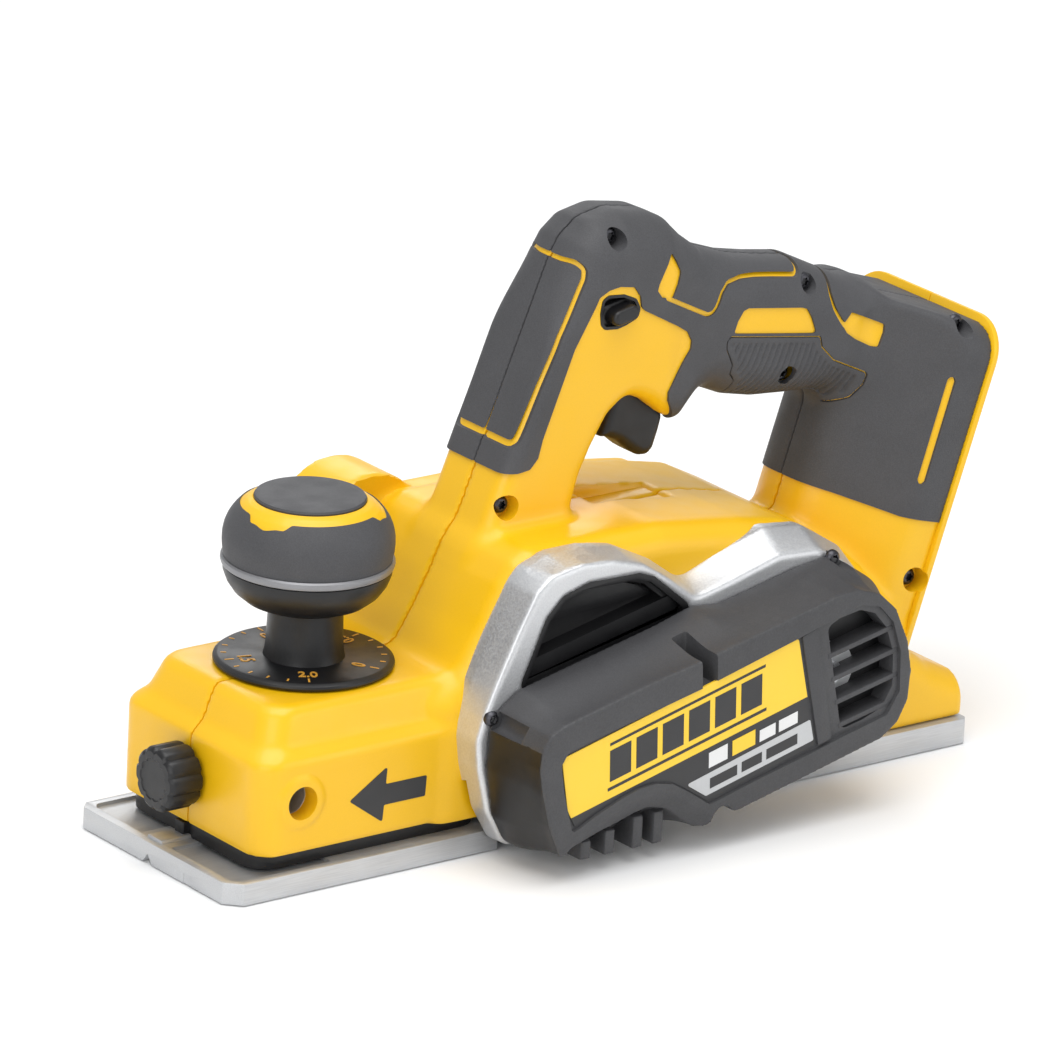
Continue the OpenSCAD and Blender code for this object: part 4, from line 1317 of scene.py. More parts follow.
def screw(name: str, head: Point, radius: float, thick: float, length: float) -> bpy.types.Object:
    """A pan-head screw driven along +Y, its head towards -Y.

    Args:
        name: the piece's name.
        head: where the underside of its head sits.
        radius: of the head.
        thick: of the head.
        length: of the shank.

    Returns:
        The screw.
    """
    shank = radius * 0.52
    body = lathe(name, [(0, -thick), (radius * 0.62, -thick), (radius * 0.9, -thick * 0.72),
                        (radius, -thick * 0.35),
                        (radius, 0), (shank, 0), (shank, length - 1), (shank * 0.5, length), (0, length)], head,
                        Along.Y, 32)
    lobes = Outline(tuple((radius * (0.46 + 0.09 * math.cos(6 * t)) * math.cos(t) + head[0],
                           radius * (0.46 + 0.09 * math.cos(6 * t)) * math.sin(t) + head[2])
                          for t in np.arange(36) * math.tau / 36))
    return carve(body, tool(lobes, head[1] - thick - 1, head[1] - thick * 0.3))


# ------------------------------------------------------------------ belt side
@dataclass
class DrumHousing:
    """The painted casting between the body and the belt cover, with the chip outlet through it.

    Args:
        back: where the casting meets the yellow shell.
        front: its outer face.
        outer: its outline where it meets the shell.
        face: its outline at the outer face.
        mouth: the chip outlet.
    """

    back: float = -33.8
    front: float = -50.0
    outer: Outline = Outline((
        (98, 3.6), (90.2, 17), (86.2, 31.7), (85.0, 41), (87.4, 49), (90.6, 57.6), (97.4, 71), (105.6, 86),
        (109.4, 90.8),
        (118.7, 94.2), (131.8, 94.3), (144.3, 92.4), (158.0, 86), (170.6, 77.2), (185, 82.6), (204.2, 88.2),
        (219.5, 86.4), (236.5, 76.0), (241, 62), (240, 32), (223, 23), (201, 18), (164, 10), (150, 3.6)))
    face: Outline = Outline((
        (98.3, 4.1), (90.8, 17), (86.9, 31.7), (85.9, 41), (88.2, 48.4), (92.6, 58.6), (99.6, 73.3),
        (106.5, 86.2), (112.4, 90.9),
        (124.5, 93.0), (136.3, 92.2), (149.2, 88.4), (159.2, 81.9), (169.4, 73.9), (184, 77.2), (202.8, 82.2),
        (219, 81.4), (234.5, 72), (239.4, 61), (238, 33), (222, 24.5), (200, 19.4), (162, 10.6), (148, 4.1)))
    mouth: Outline = Outline(((100.4, 53.0), (105.6, 64.5), (111.0, 77.2), (117.3, 83.5), (126.9, 86.2),
                              (146.5, 85.9),
                              (152.6, 83.7), (166.4, 72.6), (168.4, 67.0)))

    def build(self) -> None:
        """Builds the casting and the chute."""
        r = Region((80, -51.5, 1), (245, -32, 97), 0.7)
        t = np.clip((self.back - 5 - r.y) / (self.back - 5 - self.front), 0, 1)
        wide = r.side_of(self.outer.rounded(7))
        tight = r.side_of(self.face.rounded(6))
        flat = wide + (tight - wide) * t
        across = np.maximum(self.front - r.y, r.y - self.back)
        values = crop(flat, across, 1.6)
        mouth = r.side_of(self.mouth.rounded(4))
        values = crop(values, -(mouth - 0.2), 1.2)
        obj = r.mesh("drum_casting", values)
        carve(obj, tool(round_outline(DRUM, DRUM_ROOM, 72), -42.3, -20),
              tool(box_outline((60, -5), (106, 9.8)), -42.2, 0),
              tool(box_outline((124, -5), (300, 8.3)), -41.6, 0),
              tool(box_outline((102, -5), (128, 26)), -42.2, 0))
        install(obj, Body.HOUSING, CAST, "drum_bracket")
        self._chute()

    def _chute(self) -> None:
        """The black lining of the chip outlet, with its ledge."""
        liner = self.mouth.rounded(4)
        ring = extrude("chip_liner", liner.grown(0.35), -49.4, -34)
        carve(ring, tool(liner.grown(-1.6), -60, -46.8))
        low = Outline(((103.2, 57.5), (165, 71.2), (160.6, 75.8), (106, 63.6))).rounded(1.2)
        carve(ring, tool(liner.grown(-3.0), -60, -41.5))
        ledge = tool(low, -47.6, -40)
        carve(ring, ledge, cut=Cut.ADD)
        slope = tool(Outline(((110.5, 73.6), (113.2, 79.0), (119.8, 83.4), (143, 82.4), (151, 79.6),
                              (156.8, 76.4))).rounded(2.0), -43.6, -36)
        carve(ring, slope, cut=Cut.ADD)
        soften(ring, 0.5)
        install(ring, Body.HOUSING, BLACK, "chip_chute", angle=30)


@dataclass
class BeltCover:
    """The dark cover over the belt, with its label, vents and screws.

    Args:
        base: where it meets the casting.
        face: its outer face.
        root: the cover's outline at its base.
        front: its outline at the face.
        lip: where the face is flat; below it the lower edge is chamfered.
        bed: the sunk field that holds the label.
        vent: the opening of the louvres.
        screws: x, z and the level y of the sockets of its screws.
    """

    base: float = -50.1
    face: float = -77.0
    root: Outline = Outline((
        (97.8, 5.4), (91.8, 16.5), (88.6, 33), (89.2, 44.5), (92.6, 51.0), (100.4, 56.4), (131, 63.2),
        (153, 68.2), (167, 72.2),
        (178, 71.2), (191, 73.8), (208.5, 77.8), (222.6, 79.4), (236, 70.5), (239.6, 60), (239.3, 44),
        (236.3, 32),
        (224, 25), (202, 20), (168, 11.0), (160, 6.6), (150, 5.4)))
    front: Outline = Outline((
        (102.6, 8.6), (99.6, 9.6), (95.0, 20), (91.8, 32), (90.4, 40), (91.0, 45.6), (94.0, 50.2), (99.2, 52.8),
        (131.3, 60.4),
        (150.7, 64.2), (170.2, 68.6), (189.8, 73.0), (206, 76.6), (214.5, 77.0), (222.8, 74.2), (229.6, 68.0),
        (235.0, 56.6),
        (237.2, 46.2), (236.4, 36.2), (232.8, 29.4), (226.5, 25.0), (194, 17.2), (168.4, 11.2), (165.6, 13.6),
        (162.6, 14.2),
        (160.0, 11.6), (159.4, 7.8), (154.2, 8.2), (150.0, 10.8), (142.6, 16.5), (136.2, 18.0), (130.1, 16.9),
        (124.4, 15.3),
        (114.7, 13.4), (105.0, 11.0)))
    lip: Outline = Outline((
        (60, 8), (100.5, 11.4), (104.9, 14.0), (114.4, 18.3), (123.9, 21.8), (129.7, 23.7), (135.8, 24.3),
        (142.0, 22.8),
        (147.7, 19.2), (158.9, 11.8), (164, 9), (260, 9), (260, 120), (60, 120)))
    bed: Outline = Outline((
        (103.8, 16.6), (99.6, 31.6), (98.2, 39.8), (100.6, 43.6), (107.6, 45.6), (152.1, 55.4), (191.1, 65.6),
        (203, 68.9),
        (215, 72.0), (222.4, 70.2), (228.3, 64.2), (232.0, 53.6), (232.6, 40.0), (228.0, 32.8), (211.1, 28.9),
        (200.0, 26.0),
        (177.4, 20.8), (158.0, 15.8), (148.7, 22.0), (142.6, 25.6), (135.9, 27.0), (129.2, 26.4), (123.2, 24.6),
        (113.6, 20.9), (106.6, 17.6)))
    vent: Outline = Outline((
        (202.6, 66.4), (207.4, 68.6), (215.6, 69.9), (221.6, 67.8), (226.8, 62.0), (230.0, 53.4), (230.6, 41.9),
        (226.6, 35.2), (219.0, 32.4), (210.4, 30.6)))
    screws: tuple[Point, ...] = ((90.8, 48.2, -52.6), (222.8, 78.6, -54.0))

    def build(self) -> None:
        """Builds the cover and what it carries."""
        self._cover()
        self._vent_black()
        self._label()
        tips = [screw("s", (x, y + 3.4, z), 2.6, 2.2, 9.0) for x, z, y in self.screws]
        install(join("cover_screws", tips), Body.HOUSING, DARK, "belt_cover_screws")

    def _cover(self) -> None:
        """The moulded cover: tapered walls, a framed face, an arch over four ribs, and louvres."""
        r = Region((84, -78.5, 0.5), (243, -49, 84), 0.68)
        t = ease(-r.y, 54.0, 74.0)
        wide = r.side_of(self.root.rounded(6))
        tight = r.side_of(self.front.rounded(2.2))
        flat = wide + (tight - wide) * t
        values = crop(flat, np.maximum(self.face - r.y, r.y - self.base), 1.1)
        below = np.maximum(r.side_of(self.lip.rounded(1.5)), 0)
        values = crop(values, (self.face + 0.55 * below - r.y) * 0.88, 0.4)
        for x, top in ((112.4, 11.4), (121.6, 13.2), (132.6, 15.6), (140.6, 15.6)):
            rib = slab(np.maximum(np.abs(r.x - x) - 2.0, np.maximum(5.0 - r.z, r.z - top)),
                       np.abs(r.y + 65.0) - 8.4, 0.8)
            values = blend(values, rib, 0.8)
        obj = r.mesh("belt_cover", values)
        carve(obj, tool(self.bed.rounded(2.0, 4), -90, self.face + 1.5))
        bar = Outline(((191.9, 65.4), (198.0, 67.2), (206.0, 28.9), (200.9, 27.4))).rounded(0.4, 2)
        carve(obj, tool(bar, self.face + 0.5, self.face + 3.0), cut=Cut.ADD)
        carve(obj, tool(self.vent.rounded(2.5), -90, self.face + 9.0))
        slot = Outline(((-3.0, -78.6), (3.0, -78.6), (3.0, -60.4), (-3.0, -60.4))).rounded(1.0, 3)
        carve(obj, turned(tool(slot.shifted(155.2, 0), 55.5, 80, Along.Z), -4, (155, -66, 60), "Y"))
        for x, z, y in self.screws:
            carve(obj, tool(round_outline((x, z), 3.2, 28), -66, y + 1.4))
        soften(obj, 0.3, 2, 50)
        fins = join("vent_louvres", [self._fin(k) for k in range(4)])
        install(obj, Body.HOUSING, COVER, "belt_cover", angle=30)
        install(fins, Body.HOUSING, COVER, angle=30)
        # painted shade on the wall that faces the toe
        self._darken(obj)

    def _darken(self, cover: bpy.types.Object) -> None:
        """Paints the wall that faces the toe black, as painted shade.

        Args:
            cover: the finished cover.
        """
        # painted shade: faces low on the front of the cover that face the toe take black
        cover.data.materials.append(BLACK.material())
        for poly in cover.data.polygons:
            x, y, z = poly.center.x / MM + ORIGIN_X, poly.center.y / MM, poly.center.z / MM
            if x < 104 and z < 45.2 and y > self.face + 0.8 and poly.normal.x < -0.45:
                poly.material_index = 1

    def _fin(self, k: int) -> bpy.types.Object:
        """One louvre.

        Args:
            k: its number from the top.

        Returns:
            The louvre.
        """
        x0, z0 = 203.6 + 1.9 * k, 55.4 - 8.06 * k
        line = Outline(((x0, z0), (x0 + 27.4, z0 + 5.9), (x0 + 27.4, z0 + 7.7), (x0, z0 + 1.8)))
        fin = tool(line, self.face + 1.3, self.face + 8.8)
        soften(fin, 0.35, 2, 30)
        return fin

    def _vent_black(self) -> None:
        """A black sheet behind the louvres: painted shade in the depth of the vent."""
        # painted shade: a black sheet on the floor of the vent pocket
        sheet = extrude("vent_shade_sheet", self.vent.rounded(2.5).grown(0.6), self.face + 8.4, self.face + 9.4)
        install(sheet, Body.HOUSING, BLACK)

    def _label(self) -> None:
        """A plain plate: a yellow field, a dark band and a silver band, with slanted bars on them."""
        level = self.face + 1.5
        whole = Outline((
            (99.3, 40.8), (101.0, 42.2), (190.9, 64.8), (199.9, 27.4), (157.8, 16.9), (148.9, 22.5),
            (142.8, 26.2), (135.9, 27.7),
            (129.0, 27.1), (123.0, 25.3), (113.4, 21.6), (105.6, 18.0), (102.4, 24.0))).rounded(0.8, 3)
        above = Outline(((60, 10.3), (105.2, 21.6), (195.8, 44.5), (240, 55.7), (240, 120), (60, 120)))
        base = extrude("label_plate", whole, level - 0.3, level + 0.4)
        band = extrude("label_band", whole.grown(0.05), level - 0.36, level + 0.45)
        carve(band, tool(above, -90, 0))
        silver = Outline(((148.9, 23.8), (156.9, 18.6), (199.2, 29.4), (197.4, 36.6))).rounded(0.5, 2)
        strip = extrude("label_strip", silver, level - 0.44, level)
        rows = [(0.0, 63.6, -0.6, 0.4), (0.8, 63.0, 14.0, 14.9)]
        rows += [(0.8 + 10.5 * k, 9.2 + 10.5 * k, 2.2, 12.4) for k in range(6)]
        dark = [tool(self._bar(*row), level - 0.4, level) for row in rows]
        dark += [tool(self._bar(*row), level - 0.5, level) for row in (
            (41.0, 52.0, -17.0, -13.6), (53.8, 62.0, -17.0, -13.6), (63.8, 76.4, -17.0, -13.6))]
        pale = [tool(self._bar(*row), level - 0.46, level) for row in (
            (40.5, 48.0, -10.0, -5.0), (61.0, 67.4, -10.0, -6.2), (68.8, 76.4, -10.0, -6.2))]
        gold = extrude("label_gold_bar", self._bar(50.0, 59.2, -10.0, -5.0), level - 0.46, level)
        install(base, Body.HOUSING, PLATE, "cover_label")
        install(band, Body.HOUSING, INK)
        install(strip, Body.HOUSING, SILVER_INK)
        install(join("label_bars", dark), Body.HOUSING, INK)
        install(join("label_pale_bars", pale), Body.HOUSING, PALE_INK)
        install(gold, Body.HOUSING, PLATE)

    @staticmethod
    def _bar(u0: float, u1: float, v0: float, v1: float) -> Outline:
        """A slanted bar on the label.

        Args:
            u0: its start along the slope.
            u1: its end.
            v0: its lower edge across the slope.
            v1: its upper edge.

        Returns:
            Its outline.
        """
        slope, lean, (x, z) = math.radians(14.1), 0.2, (117.7, 28.1)
        c, s = math.cos(slope), math.sin(slope)
        corners = ((u0 + v0 * lean, v0), (u1 + v0 * lean, v0), (u1 + v1 * lean, v1), (u0 + v1 * lean, v1))
        return Outline(tuple((x + u * c - v * s, z + u * s + v * c) for u, v in corners))


# ------------------------------------------------------------------ soles
@dataclass
class Soles:
    """The two aluminium soles and the black skirt of the moving one.

    Args:
        half: half width of the soles.
        front: thickness of the front sole.
        rear: thickness of the rear sole.
    """

    half: float = 41.5
    front: float = 7.0
    rear: float = 8.4

    def build(self) -> None:
        """Builds both soles and the skirt."""
        plan = Outline(((0, -self.half + 5), (5, -self.half), (102, -self.half), (102, self.half), (3, self.half),
                        (0, self.half - 3)))
        toe = extrude("front_sole", plan, 0, self.front, Along.Z)
        groove = tool(Outline(((0.2, -1), (6.8, -1), (3.5, 3.0))), -5, 120, Along.X)
        carve(toe, groove)
        pocket = Outline(((3.4, -36), (3.4, -4.2), (40, -4.2), (40, -38.4), (6.0, -38.4))).rounded(1.2, 3)
        other = Outline(((3.4, 11.4), (3.4, 36.4), (5.2, 38.6), (40, 38.6), (40, 11.4))).rounded(1.2, 3)
        carve(toe, tool(pocket, self.front - 1.3, 12, Along.Z), tool(other, self.front - 1.3, 12, Along.Z))
        ridge = Outline(((-1.2, 5.2), (8.2, 5.2), (7.0, 8.0), (0.0, 8.0))).rounded(0.6, 3)
        carve(toe, tool(ridge, 2.6, 16, Along.X), cut=Cut.ADD)
        carve(toe, tool(Outline(((-20, -1), (-20, 3.2), (-16, 3.2), (-16, -1))).rounded(0.6), -5, 0.2, Along.X))
        soften(toe, 0.45, 2, 30)
        install(toe, Body.FRONT_SHOE, SHOE, "front_shoe", angle=30)
        self._rear()
        self._skirt()

    def _rear(self) -> None:
        """The rear sole."""
        plan = Outline(((128, -self.half), (292, -self.half), (292, self.half), (128, self.half))).rounded(2.0, 3)
        sole = extrude("rear_sole", plan, 0, self.rear, Along.Z)
        carve(sole, tool(Outline(((126, 3.0), (129.6, -2), (120, -2))), -60, 60))
        for y in (-30.0, 30.0):
            carve(sole, tool(round_outline((150, y), 4.2, 32), -1, 3.2, Along.Z),
                  tool(round_outline((280, y), 4.2, 32), -1, 3.2, Along.Z))
        soften(sole, 0.5, 2, 30)
        install(sole, Body.HOUSING, SHOE, "rear_shoe", angle=30)

    def _skirt(self) -> None:
        """The black skirt between the front sole and the block."""
        plan = Outline(((13.8, -34.9), (101, -34.9), (101, 36), (13.8, 36))).rounded(9.0, 8)
        skirt = extrude("shoe_skirt", plan, self.front - 0.1, 11.9, Along.Z)
        tab = tool(Outline(((11.6, 1.2), (14.4, 1.2), (14.4, 5.8), (11.6, 5.8))).rounded(0.5), 7.6, 11.9, Along.Z)
        carve(skirt, tab, cut=Cut.ADD)
        carve(skirt, tool(plan.grown(-2.6), 9, 14, Along.Z))
        soften(skirt, 0.5, 2, 30)
        install(skirt, Body.FRONT_SHOE, BLACK, "shoe_skirt", angle=30)


# ------------------------------------------------------------------ front knob
@dataclass
class DepthKnob:
    """The front knob that sets the depth of cut.

    Args:
        x: its axis.
        dial: radius of the dial.
        stem: radius of the stem.
        outer: side of the ball, as radius and height, from the trim ring up.
        zero: angle of the scale's zero.
        notch: degrees between its ticks.
        figure: size of its figures.
    """

    x: float = 54.5
    dial: float = 28.5
    stem: float = 12.3
    zero: float = 298.0
    notch: float = 15.0
    figure: float = 6.4
    outer: tuple[Flat, ...] = ((26.4, 93.0), (26.8, 95.5), (27.0, 98.0), (26.9, 100.5), (26.4, 103.0),
                               (25.4, 105.4),
                               (24.0, 107.6), (22.2, 109.6), (20.0, 111.2), (18.2, 112.0))

    def build(self) -> None:
        """Builds the dial, the stem and the ball."""
        axis = (self.x, 0.0, 0.0)
        d, s = self.dial, self.stem
        dial = lathe("depth_dial", [(0, 57.9), (d - 1.1, 57.9), (d - 0.3, 58.2), (d, 58.9), (d - 0.2, 59.6),
                                    (d - 1.2, 60.3),
                                    (d - 1.9, 60.55), (14.4, 60.25), (13.2, 60.4), (0, 60.4)], axis, sides=144)
        install(dial, Body.KNOB, BLACK, "depth_dial", angle=30)
        stem = lathe("knob_stem", [(0, 60.3), (s + 0.6, 60.3), (s + 0.3, 61.4), (s - 0.1, 64), (s - 0.5, 74.5),
                                   (s - 0.1, 76.6),
                                   (s + 1.1, 77.9), (0, 78)], axis)
        install(stem, Body.KNOB, BLACK, "knob_stem", "knob_spindle", angle=30)
        bowl = lathe("knob_bowl", [(0, 76.9), (12.2, 76.9), (15.6, 77.5), (19.6, 79.2), (23.0, 82.0),
                                   (25.2, 85.2), (26.4, 88.4),
                                   (26.4, 90.0), (25.6, 90.6), (0, 90.6)], axis)
        carve(bowl, tool(Outline(((25.4, -3.2), (30, -3.2), (30, 3.2), (25.4, 3.2))).shifted(self.x, 0), 87.6,
                         89.2, Along.Z))
        install(bowl, Body.KNOB, BLACK, "knob_bowl", angle=32)
        ring = lathe("trim_ring", [(0, 90.3), (26.3, 90.3), (27.0, 90.7), (27.3, 91.7), (27.2, 92.6),
                                   (26.7, 93.1), (0, 93.1)], axis)
        install(ring, Body.KNOB, TRIM, "knob_ring", angle=35)
        self._cap()
        self._scale()

    def _edge(self, theta: Array) -> Array:
        """How far up the ball's side the soft grip reaches.

        Args:
            theta: angles round the knob.

        Returns:
            From 0 at the trim ring to 1 at the pad.
        """
        third = np.mod(theta - math.radians(198.0) + math.pi / 3, math.tau / 3) - math.pi / 3
        return 0.81 - 0.15 * (ease(np.abs(third), 0.40, 0.26) * 0.7 + ease(np.abs(third), 0.2, 0.0) * 0.3)

    def _cap(self) -> None:
        """The soft grip, the yellow crown with its wavy edge and the soft pad on top."""
        sides, rows = 192, 16
        prof = np.array(self.outer)
        run = np.concatenate([[0], np.cumsum(np.hypot(*np.diff(prof, axis=0).T))])
        run /= run[-1]
        theta = np.arange(sides) * math.tau / sides
        edge = self._edge(theta)

        def band(name: str, start: Array, end: Array, sink: float, close: Sequence[Flat]) -> bpy.types.Object:
            """A band of the ball between two wavy edges.

            Args:
                name: the piece's name.
                start: where the band begins at each angle, from 0 to 1 up the ball.
                end: where it ends.
                sink: how far it lies under the ball's surface.
                close: radius and height of the rings that close it inside.

            Returns:
                The band.
            """
            verts = []
            for k in range(rows):
                s = start + (end - start) * k / (rows - 1)
                rr = np.interp(s, run, prof[:, 0]) - sink
                zz = np.interp(s, run, prof[:, 1]) - sink * 0.5
                verts.append(np.stack([rr * np.cos(theta), rr * np.sin(theta), zz], 1))
            for r_, z_ in close:
                verts.append(np.stack([r_ * np.cos(theta), r_ * np.sin(theta), np.full(sides, z_)], 1))
            n = len(verts)
            faces = []
            for i in range(n):
                a, b = i * sides, ((i + 1) % n) * sides
                faces += [[a + k, a + (k + 1) % sides, b + (k + 1) % sides, b + k] for k in range(sides)]
            obj = make_object(name, np.concatenate(verts) + (self.x, 0, 0), faces)
            tidy_normals(obj)
            return obj

        grip = band("knob_grip", np.zeros(sides), edge, 0.0, ((17.0, 104.0), (17.0, 93.0)))
        install(grip, Body.KNOB, SOFT, "knob_grip", angle=45)
        crown = band("knob_crown", edge - 0.05, np.ones(sides), 0.35, ((17.2, 111.4), (17.0, 102.0)))
        install(crown, Body.KNOB, YELLOW, angle=45)
        pad = lathe("knob_pad", [(0, 104), (17.1, 104), (17.3, 111.4), (17.6, 112.3), (17.2, 112.9),
                                 (15.8, 113.1), (8, 112.6), (0, 112.4)],
                    (self.x, 0, 0))
        install(pad, Body.KNOB, SOFT, "knob_cap", angle=45)

    def _scale(self) -> None:
        """Ticks and figures of the depth scale, 15 degrees to a tenth of a millimetre."""
        marks: list[bpy.types.Object] = []
        for k in range(21):
            long = k % 5 == 0
            tick = Outline(((23.0 if long else 24.2, -0.28), (26.0, -0.28), (26.0, 0.28),
                            (23.0 if long else 24.2, 0.28)))
            marks.append(turned(tool(tick.shifted(self.x, 0), 60.3, 60.62, Along.Z), self.zero + self.notch * k,
                                (self.x, 0, 0), "Z"))
        for k, text in ((0, "0"), (5, "0.5"), (10, "1.0"), (15, "1.5"), (20, "2.0")):
            marks.append(turned(self._figure(text), self.zero + self.notch * k + 90, (self.x, 0, 0), "Z"))
        install(join("dial_scale", marks), Body.KNOB, SCALE_INK, angle=30)

    def _figure(self, text: str) -> bpy.types.Object:
        """A number of the scale, standing just inside the ticks.

        Args:
            text: the figures.

        Returns:
            The number as a mesh.
        """
        curve = bpy.data.curves.new("figure", "FONT")
        curve.body, curve.size, curve.extrude, curve.offset = text, self.figure * MM, 0.1 * MM, 0.1 * MM
        curve.align_x, curve.align_y = "CENTER", "BOTTOM"
        obj = bpy.data.objects.new("figure", curve)
        bpy.context.scene.collection.objects.link(obj)
        mesh = bpy.data.meshes.new_from_object(obj.evaluated_get(bpy.context.evaluated_depsgraph_get()))
        bpy.data.objects.remove(obj)
        bpy.data.curves.remove(curve)
        mesh.transform(Matrix.Translation(((self.x - ORIGIN_X) * MM, -22.4 * MM,
                                           60.5 * MM)) @ Matrix.Diagonal((0.8, 1, 1, 1)))
        made = bpy.data.objects.new("figure", mesh)
        bpy.context.scene.collection.objects.link(made)
        return made


# ------------------------------------------------------------------ small controls
@dataclass
class FenceClamp:
    """The thumb knob that holds the fence rod, and the sleeve the rod runs in.

    Args:
        radius: of the knob.
        flutes: how many it has.
        flute: their depth, as a share of the radius.
    """

    radius: float = 10.5
    flutes: int = 10
    flute: float = 0.085

    def _lobes(self, theta: Array, _height: Array) -> Array:
        """Factor on the knob's radius at each angle."""
        turn = (theta * self.flutes / math.tau) % 1.0
        return 1 - self.flute * np.exp(-((np.abs(turn - 0.5) / 0.14) ** 2))

    def build(self) -> None:
        """Builds the knob and the sleeve."""
        r = self.radius
        knob = lathe("thumb_knob", [(0, -1.2), (6.6, -1.2), (7.0, -1.5), (9.0, -1.4), (r - 0.5, -0.7), (r, 0.4),
                                    (r, 9.2), (r - 0.5, 10.4),
                                    (7.4, 11.4), (0, 11.4)], (0, 0, ROD[1]), Along.X, 120, self._lobes)
        install(knob, Body.CLAMP, BLACK, "thumb_knob", angle=32)
        sleeve = lathe("rod_sleeve", [(5.35, -33.4), (5.8, -34.0), (7.8, -34.0), (8.0, -33.4), (8.0, 33.4),
                                      (7.8, 34.0), (5.8, 34.0), (5.35, 33.4)],
                       (ROD[0], 0, ROD[1]), Along.Y, 48)
        install(sleeve, Body.HOUSING, SHOE, "fence_sleeve", angle=30)


@dataclass
class Controls:
    """The trigger and the lock button.

    Args:
        trigger: side of the trigger.
    """

    trigger: Outline = Outline(((162.6, 115.0), (165.6, 114.6), (170.2, 112.6), (175.4, 108.4), (179, 106.2),
                                (182.4, 105.9),
                                (184.6, 108.1), (186.4, 113.4), (187.6, 118), (184.6, 131), (182, 136.5),
                                (168, 136.5), (166, 126)))

    def build(self) -> None:
        """Builds both."""
        r = Region((159, -8.5, 103), (191, 8.5, 139), 0.45)
        flat = r.side_of(self.trigger.rounded(2.6))
        blade = slab(flat, np.abs(r.y) - 6.9, 3.2)
        obj = r.mesh("trigger", blade)
        carve(obj, tool(round_outline(TRIGGER_PIN, 2.1, 24), -10, 10))
        install(obj, Body.TRIGGER, BLACK, "trigger", angle=45)
        r = Region((152, -22.6, 153), (169, 22.6, 168), 0.4)
        c, s = math.cos(math.radians(11)), math.sin(math.radians(11))
        u = (r.x - 159.4) * c + (r.z - 160.2) * s
        v = -(r.x - 159.4) * s + (r.z - 160.2) * c
        reach = np.maximum(np.abs(u) - 2.6, 0)
        oval = np.hypot(reach, v) - 2.55
        bar = slab(oval, np.abs(r.y) - 21.2, 1.4)
        foot = np.hypot(np.maximum(np.abs(u) - 4.0, 0), v) - 3.6
        bar = blend(bar, slab(foot, np.abs(r.y) - 15.6, 0.6), 0.8)
        button = r.mesh("lock_button", bar)
        install(button, Body.LOCK, BLACK, "lock_button", angle=45)


# ------------------------------------------------------------------ what the CAD shows as it is
@dataclass
class Works:
    """Pieces inside, below and behind that keep their CAD shape and take a finish."""

    def dress(self, frame: dict) -> None:
        """Gives every CAD node that is still shown its finish.
        """
        slots = {part["node"]: part["material_slot"] for part in frame["record"]["subparts"]}
        for name, obj in frame["nodes"].items():
            finish = BY_SLOT[slots[name]]
            obj.data.materials.clear()
            obj.data.materials.append(finish.material())
            for poly in obj.data.polygons:
                poly.material_index = 0
        LOG.info("dressed %d CAD nodes", len(frame["nodes"]))


# ------------------------------------------------------------------ studio
@dataclass
class Lamp:
    """One soft box.

    Args:
        name: what it does.
        place: where it stands, in metres.
        aim: the point it faces.
        size: side of the box.
        power: watts.
    """

    name: str
    place: tuple[float, float, float]
    aim: tuple[float, float, float]
    size: float
    power: float

    def build(self) -> None:
        """Hangs the lamp."""
        data = bpy.data.lights.new(self.name, "AREA")
        data.shape, data.size, data.energy = "SQUARE", self.size, self.power
        obj = bpy.data.objects.new(self.name, data)
        bpy.context.scene.collection.objects.link(obj)
        way = Vector(self.aim) - Vector(self.place)
        obj.location = self.place
        obj.rotation_euler = way.to_track_quat("-Z", "Y").to_euler()


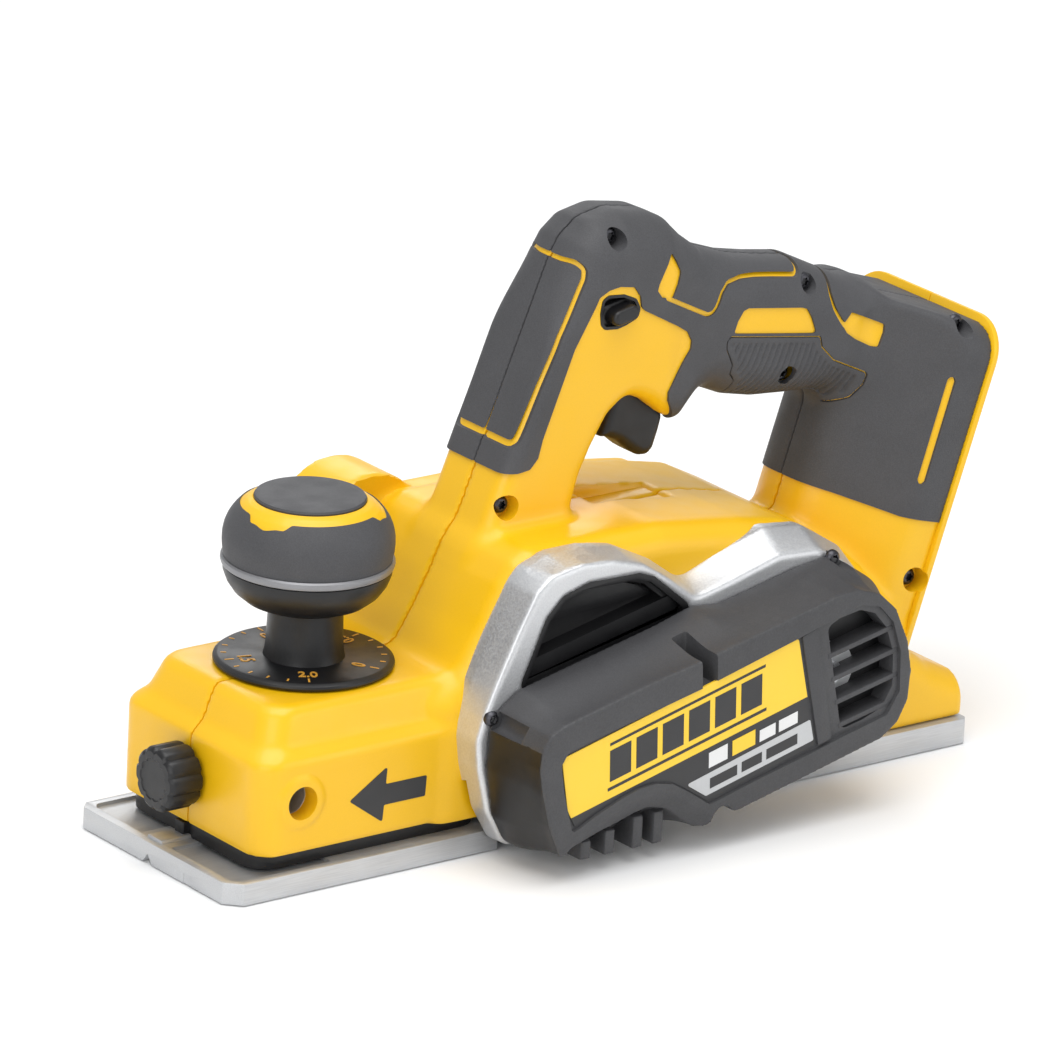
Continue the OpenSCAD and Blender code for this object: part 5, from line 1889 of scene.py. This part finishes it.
@dataclass
class Studio:
    """Floor, light and camera.

    Args:
        azimuth: degrees round the tool from straight in front of its belt side.
        elevation: degrees above the horizon.
        roll: degrees the camera is tipped.
        away: metres to the tool.
        lens: focal length on a 36 mm sensor.
        aim: the point looked at.
        lamps: the soft boxes.
        glow: strength of the light from all round.
    """

    azimuth: float = -37.945
    elevation: float = 19.267
    roll: float = 2.861
    away: float = 3.1524
    lens: float = 339.6
    aim: Point = (-0.06881, 0.0, 0.08616)
    lamps: tuple[Lamp, ...] = (
        Lamp("top box", (-0.25, -0.2, 1.6), (0, 0, 0.05), 1.4, 19.5),
        Lamp("front box", (-1.5, -0.9, 0.75), (0, 0, 0.08), 1.0, 7.0),
        Lamp("side box", (0.9, -1.7, 0.7), (0, 0, 0.08), 1.1, 6.0),
        Lamp("back box", (0.8, 1.5, 1.1), (0, 0, 0.1), 1.0, 7.0),
    )
    glow: float = 0.58

    def build(self) -> None:
        """Sets up the studio."""
        self._floor()
        self._camera()
        for lamp in self.lamps:
            lamp.build()
        scene = bpy.context.scene
        scene.view_settings.view_transform = "Standard"
        world = bpy.data.worlds.new("studio")
        world.use_nodes = True
        world.node_tree.nodes["Background"].inputs["Color"].default_value = (0.93, 0.94, 0.95, 1)
        world.node_tree.nodes["Background"].inputs["Strength"].default_value = self.glow
        scene.world = world

    def _floor(self) -> None:
        """A wide pale floor just under the soles."""
        floor = make_object("floor", np.array([(-9e3, -9e3, -0.5), (9e3, -9e3, -0.5), (9e3, 9e3, -0.5),
                                               (-9e3, 9e3, -0.5)]), [[0, 1, 2, 3]])
        bench = Bench("pale floor")
        mottle = bench.noise(3.0, 3.0)
        colour = bench.tint(mottle.step(0.3, 0.7), (0.93, 0.93, 0.93), (0.95, 0.95, 0.95))
        floor.data.materials.append(bench.finish(Base_Color=colour, Roughness=0.9))

    def _camera(self) -> None:
        """The camera, level with the view the tool is shown from."""
        a, e, r = (math.radians(v) for v in (self.azimuth, self.elevation, self.roll))
        back = Vector((math.sin(a) * math.cos(e), -math.cos(a) * math.cos(e), math.sin(e)))
        right = Vector((math.cos(a), math.sin(a), 0))
        up = back.cross(right)
        x, y = right * math.cos(r) + up * math.sin(r), -right * math.sin(r) + up * math.cos(r)
        data = bpy.data.cameras.new("camera")
        data.lens, data.sensor_width = self.lens, 36.0
        obj = bpy.data.objects.new("camera", data)
        bpy.context.scene.collection.objects.link(obj)
        turn = Matrix((x, y, back)).transposed().to_4x4()
        obj.matrix_world = Matrix.Translation(Vector(self.aim) + back * self.away) @ turn
        bpy.context.scene.camera = obj


def main() -> None:
    """Builds the tool piece by piece."""
    logging.basicConfig(level=logging.INFO, format="%(message)s")
    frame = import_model()
    for part in (Clamshells(), DrumHousing(), BeltCover(), Soles(), DepthKnob(), FenceClamp(), Controls()):
        part.build()
        LOG.info("%s done", type(part).__name__)
    Works().dress(frame)
    Studio().build()
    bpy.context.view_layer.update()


if __name__ == "__main__":
    main()
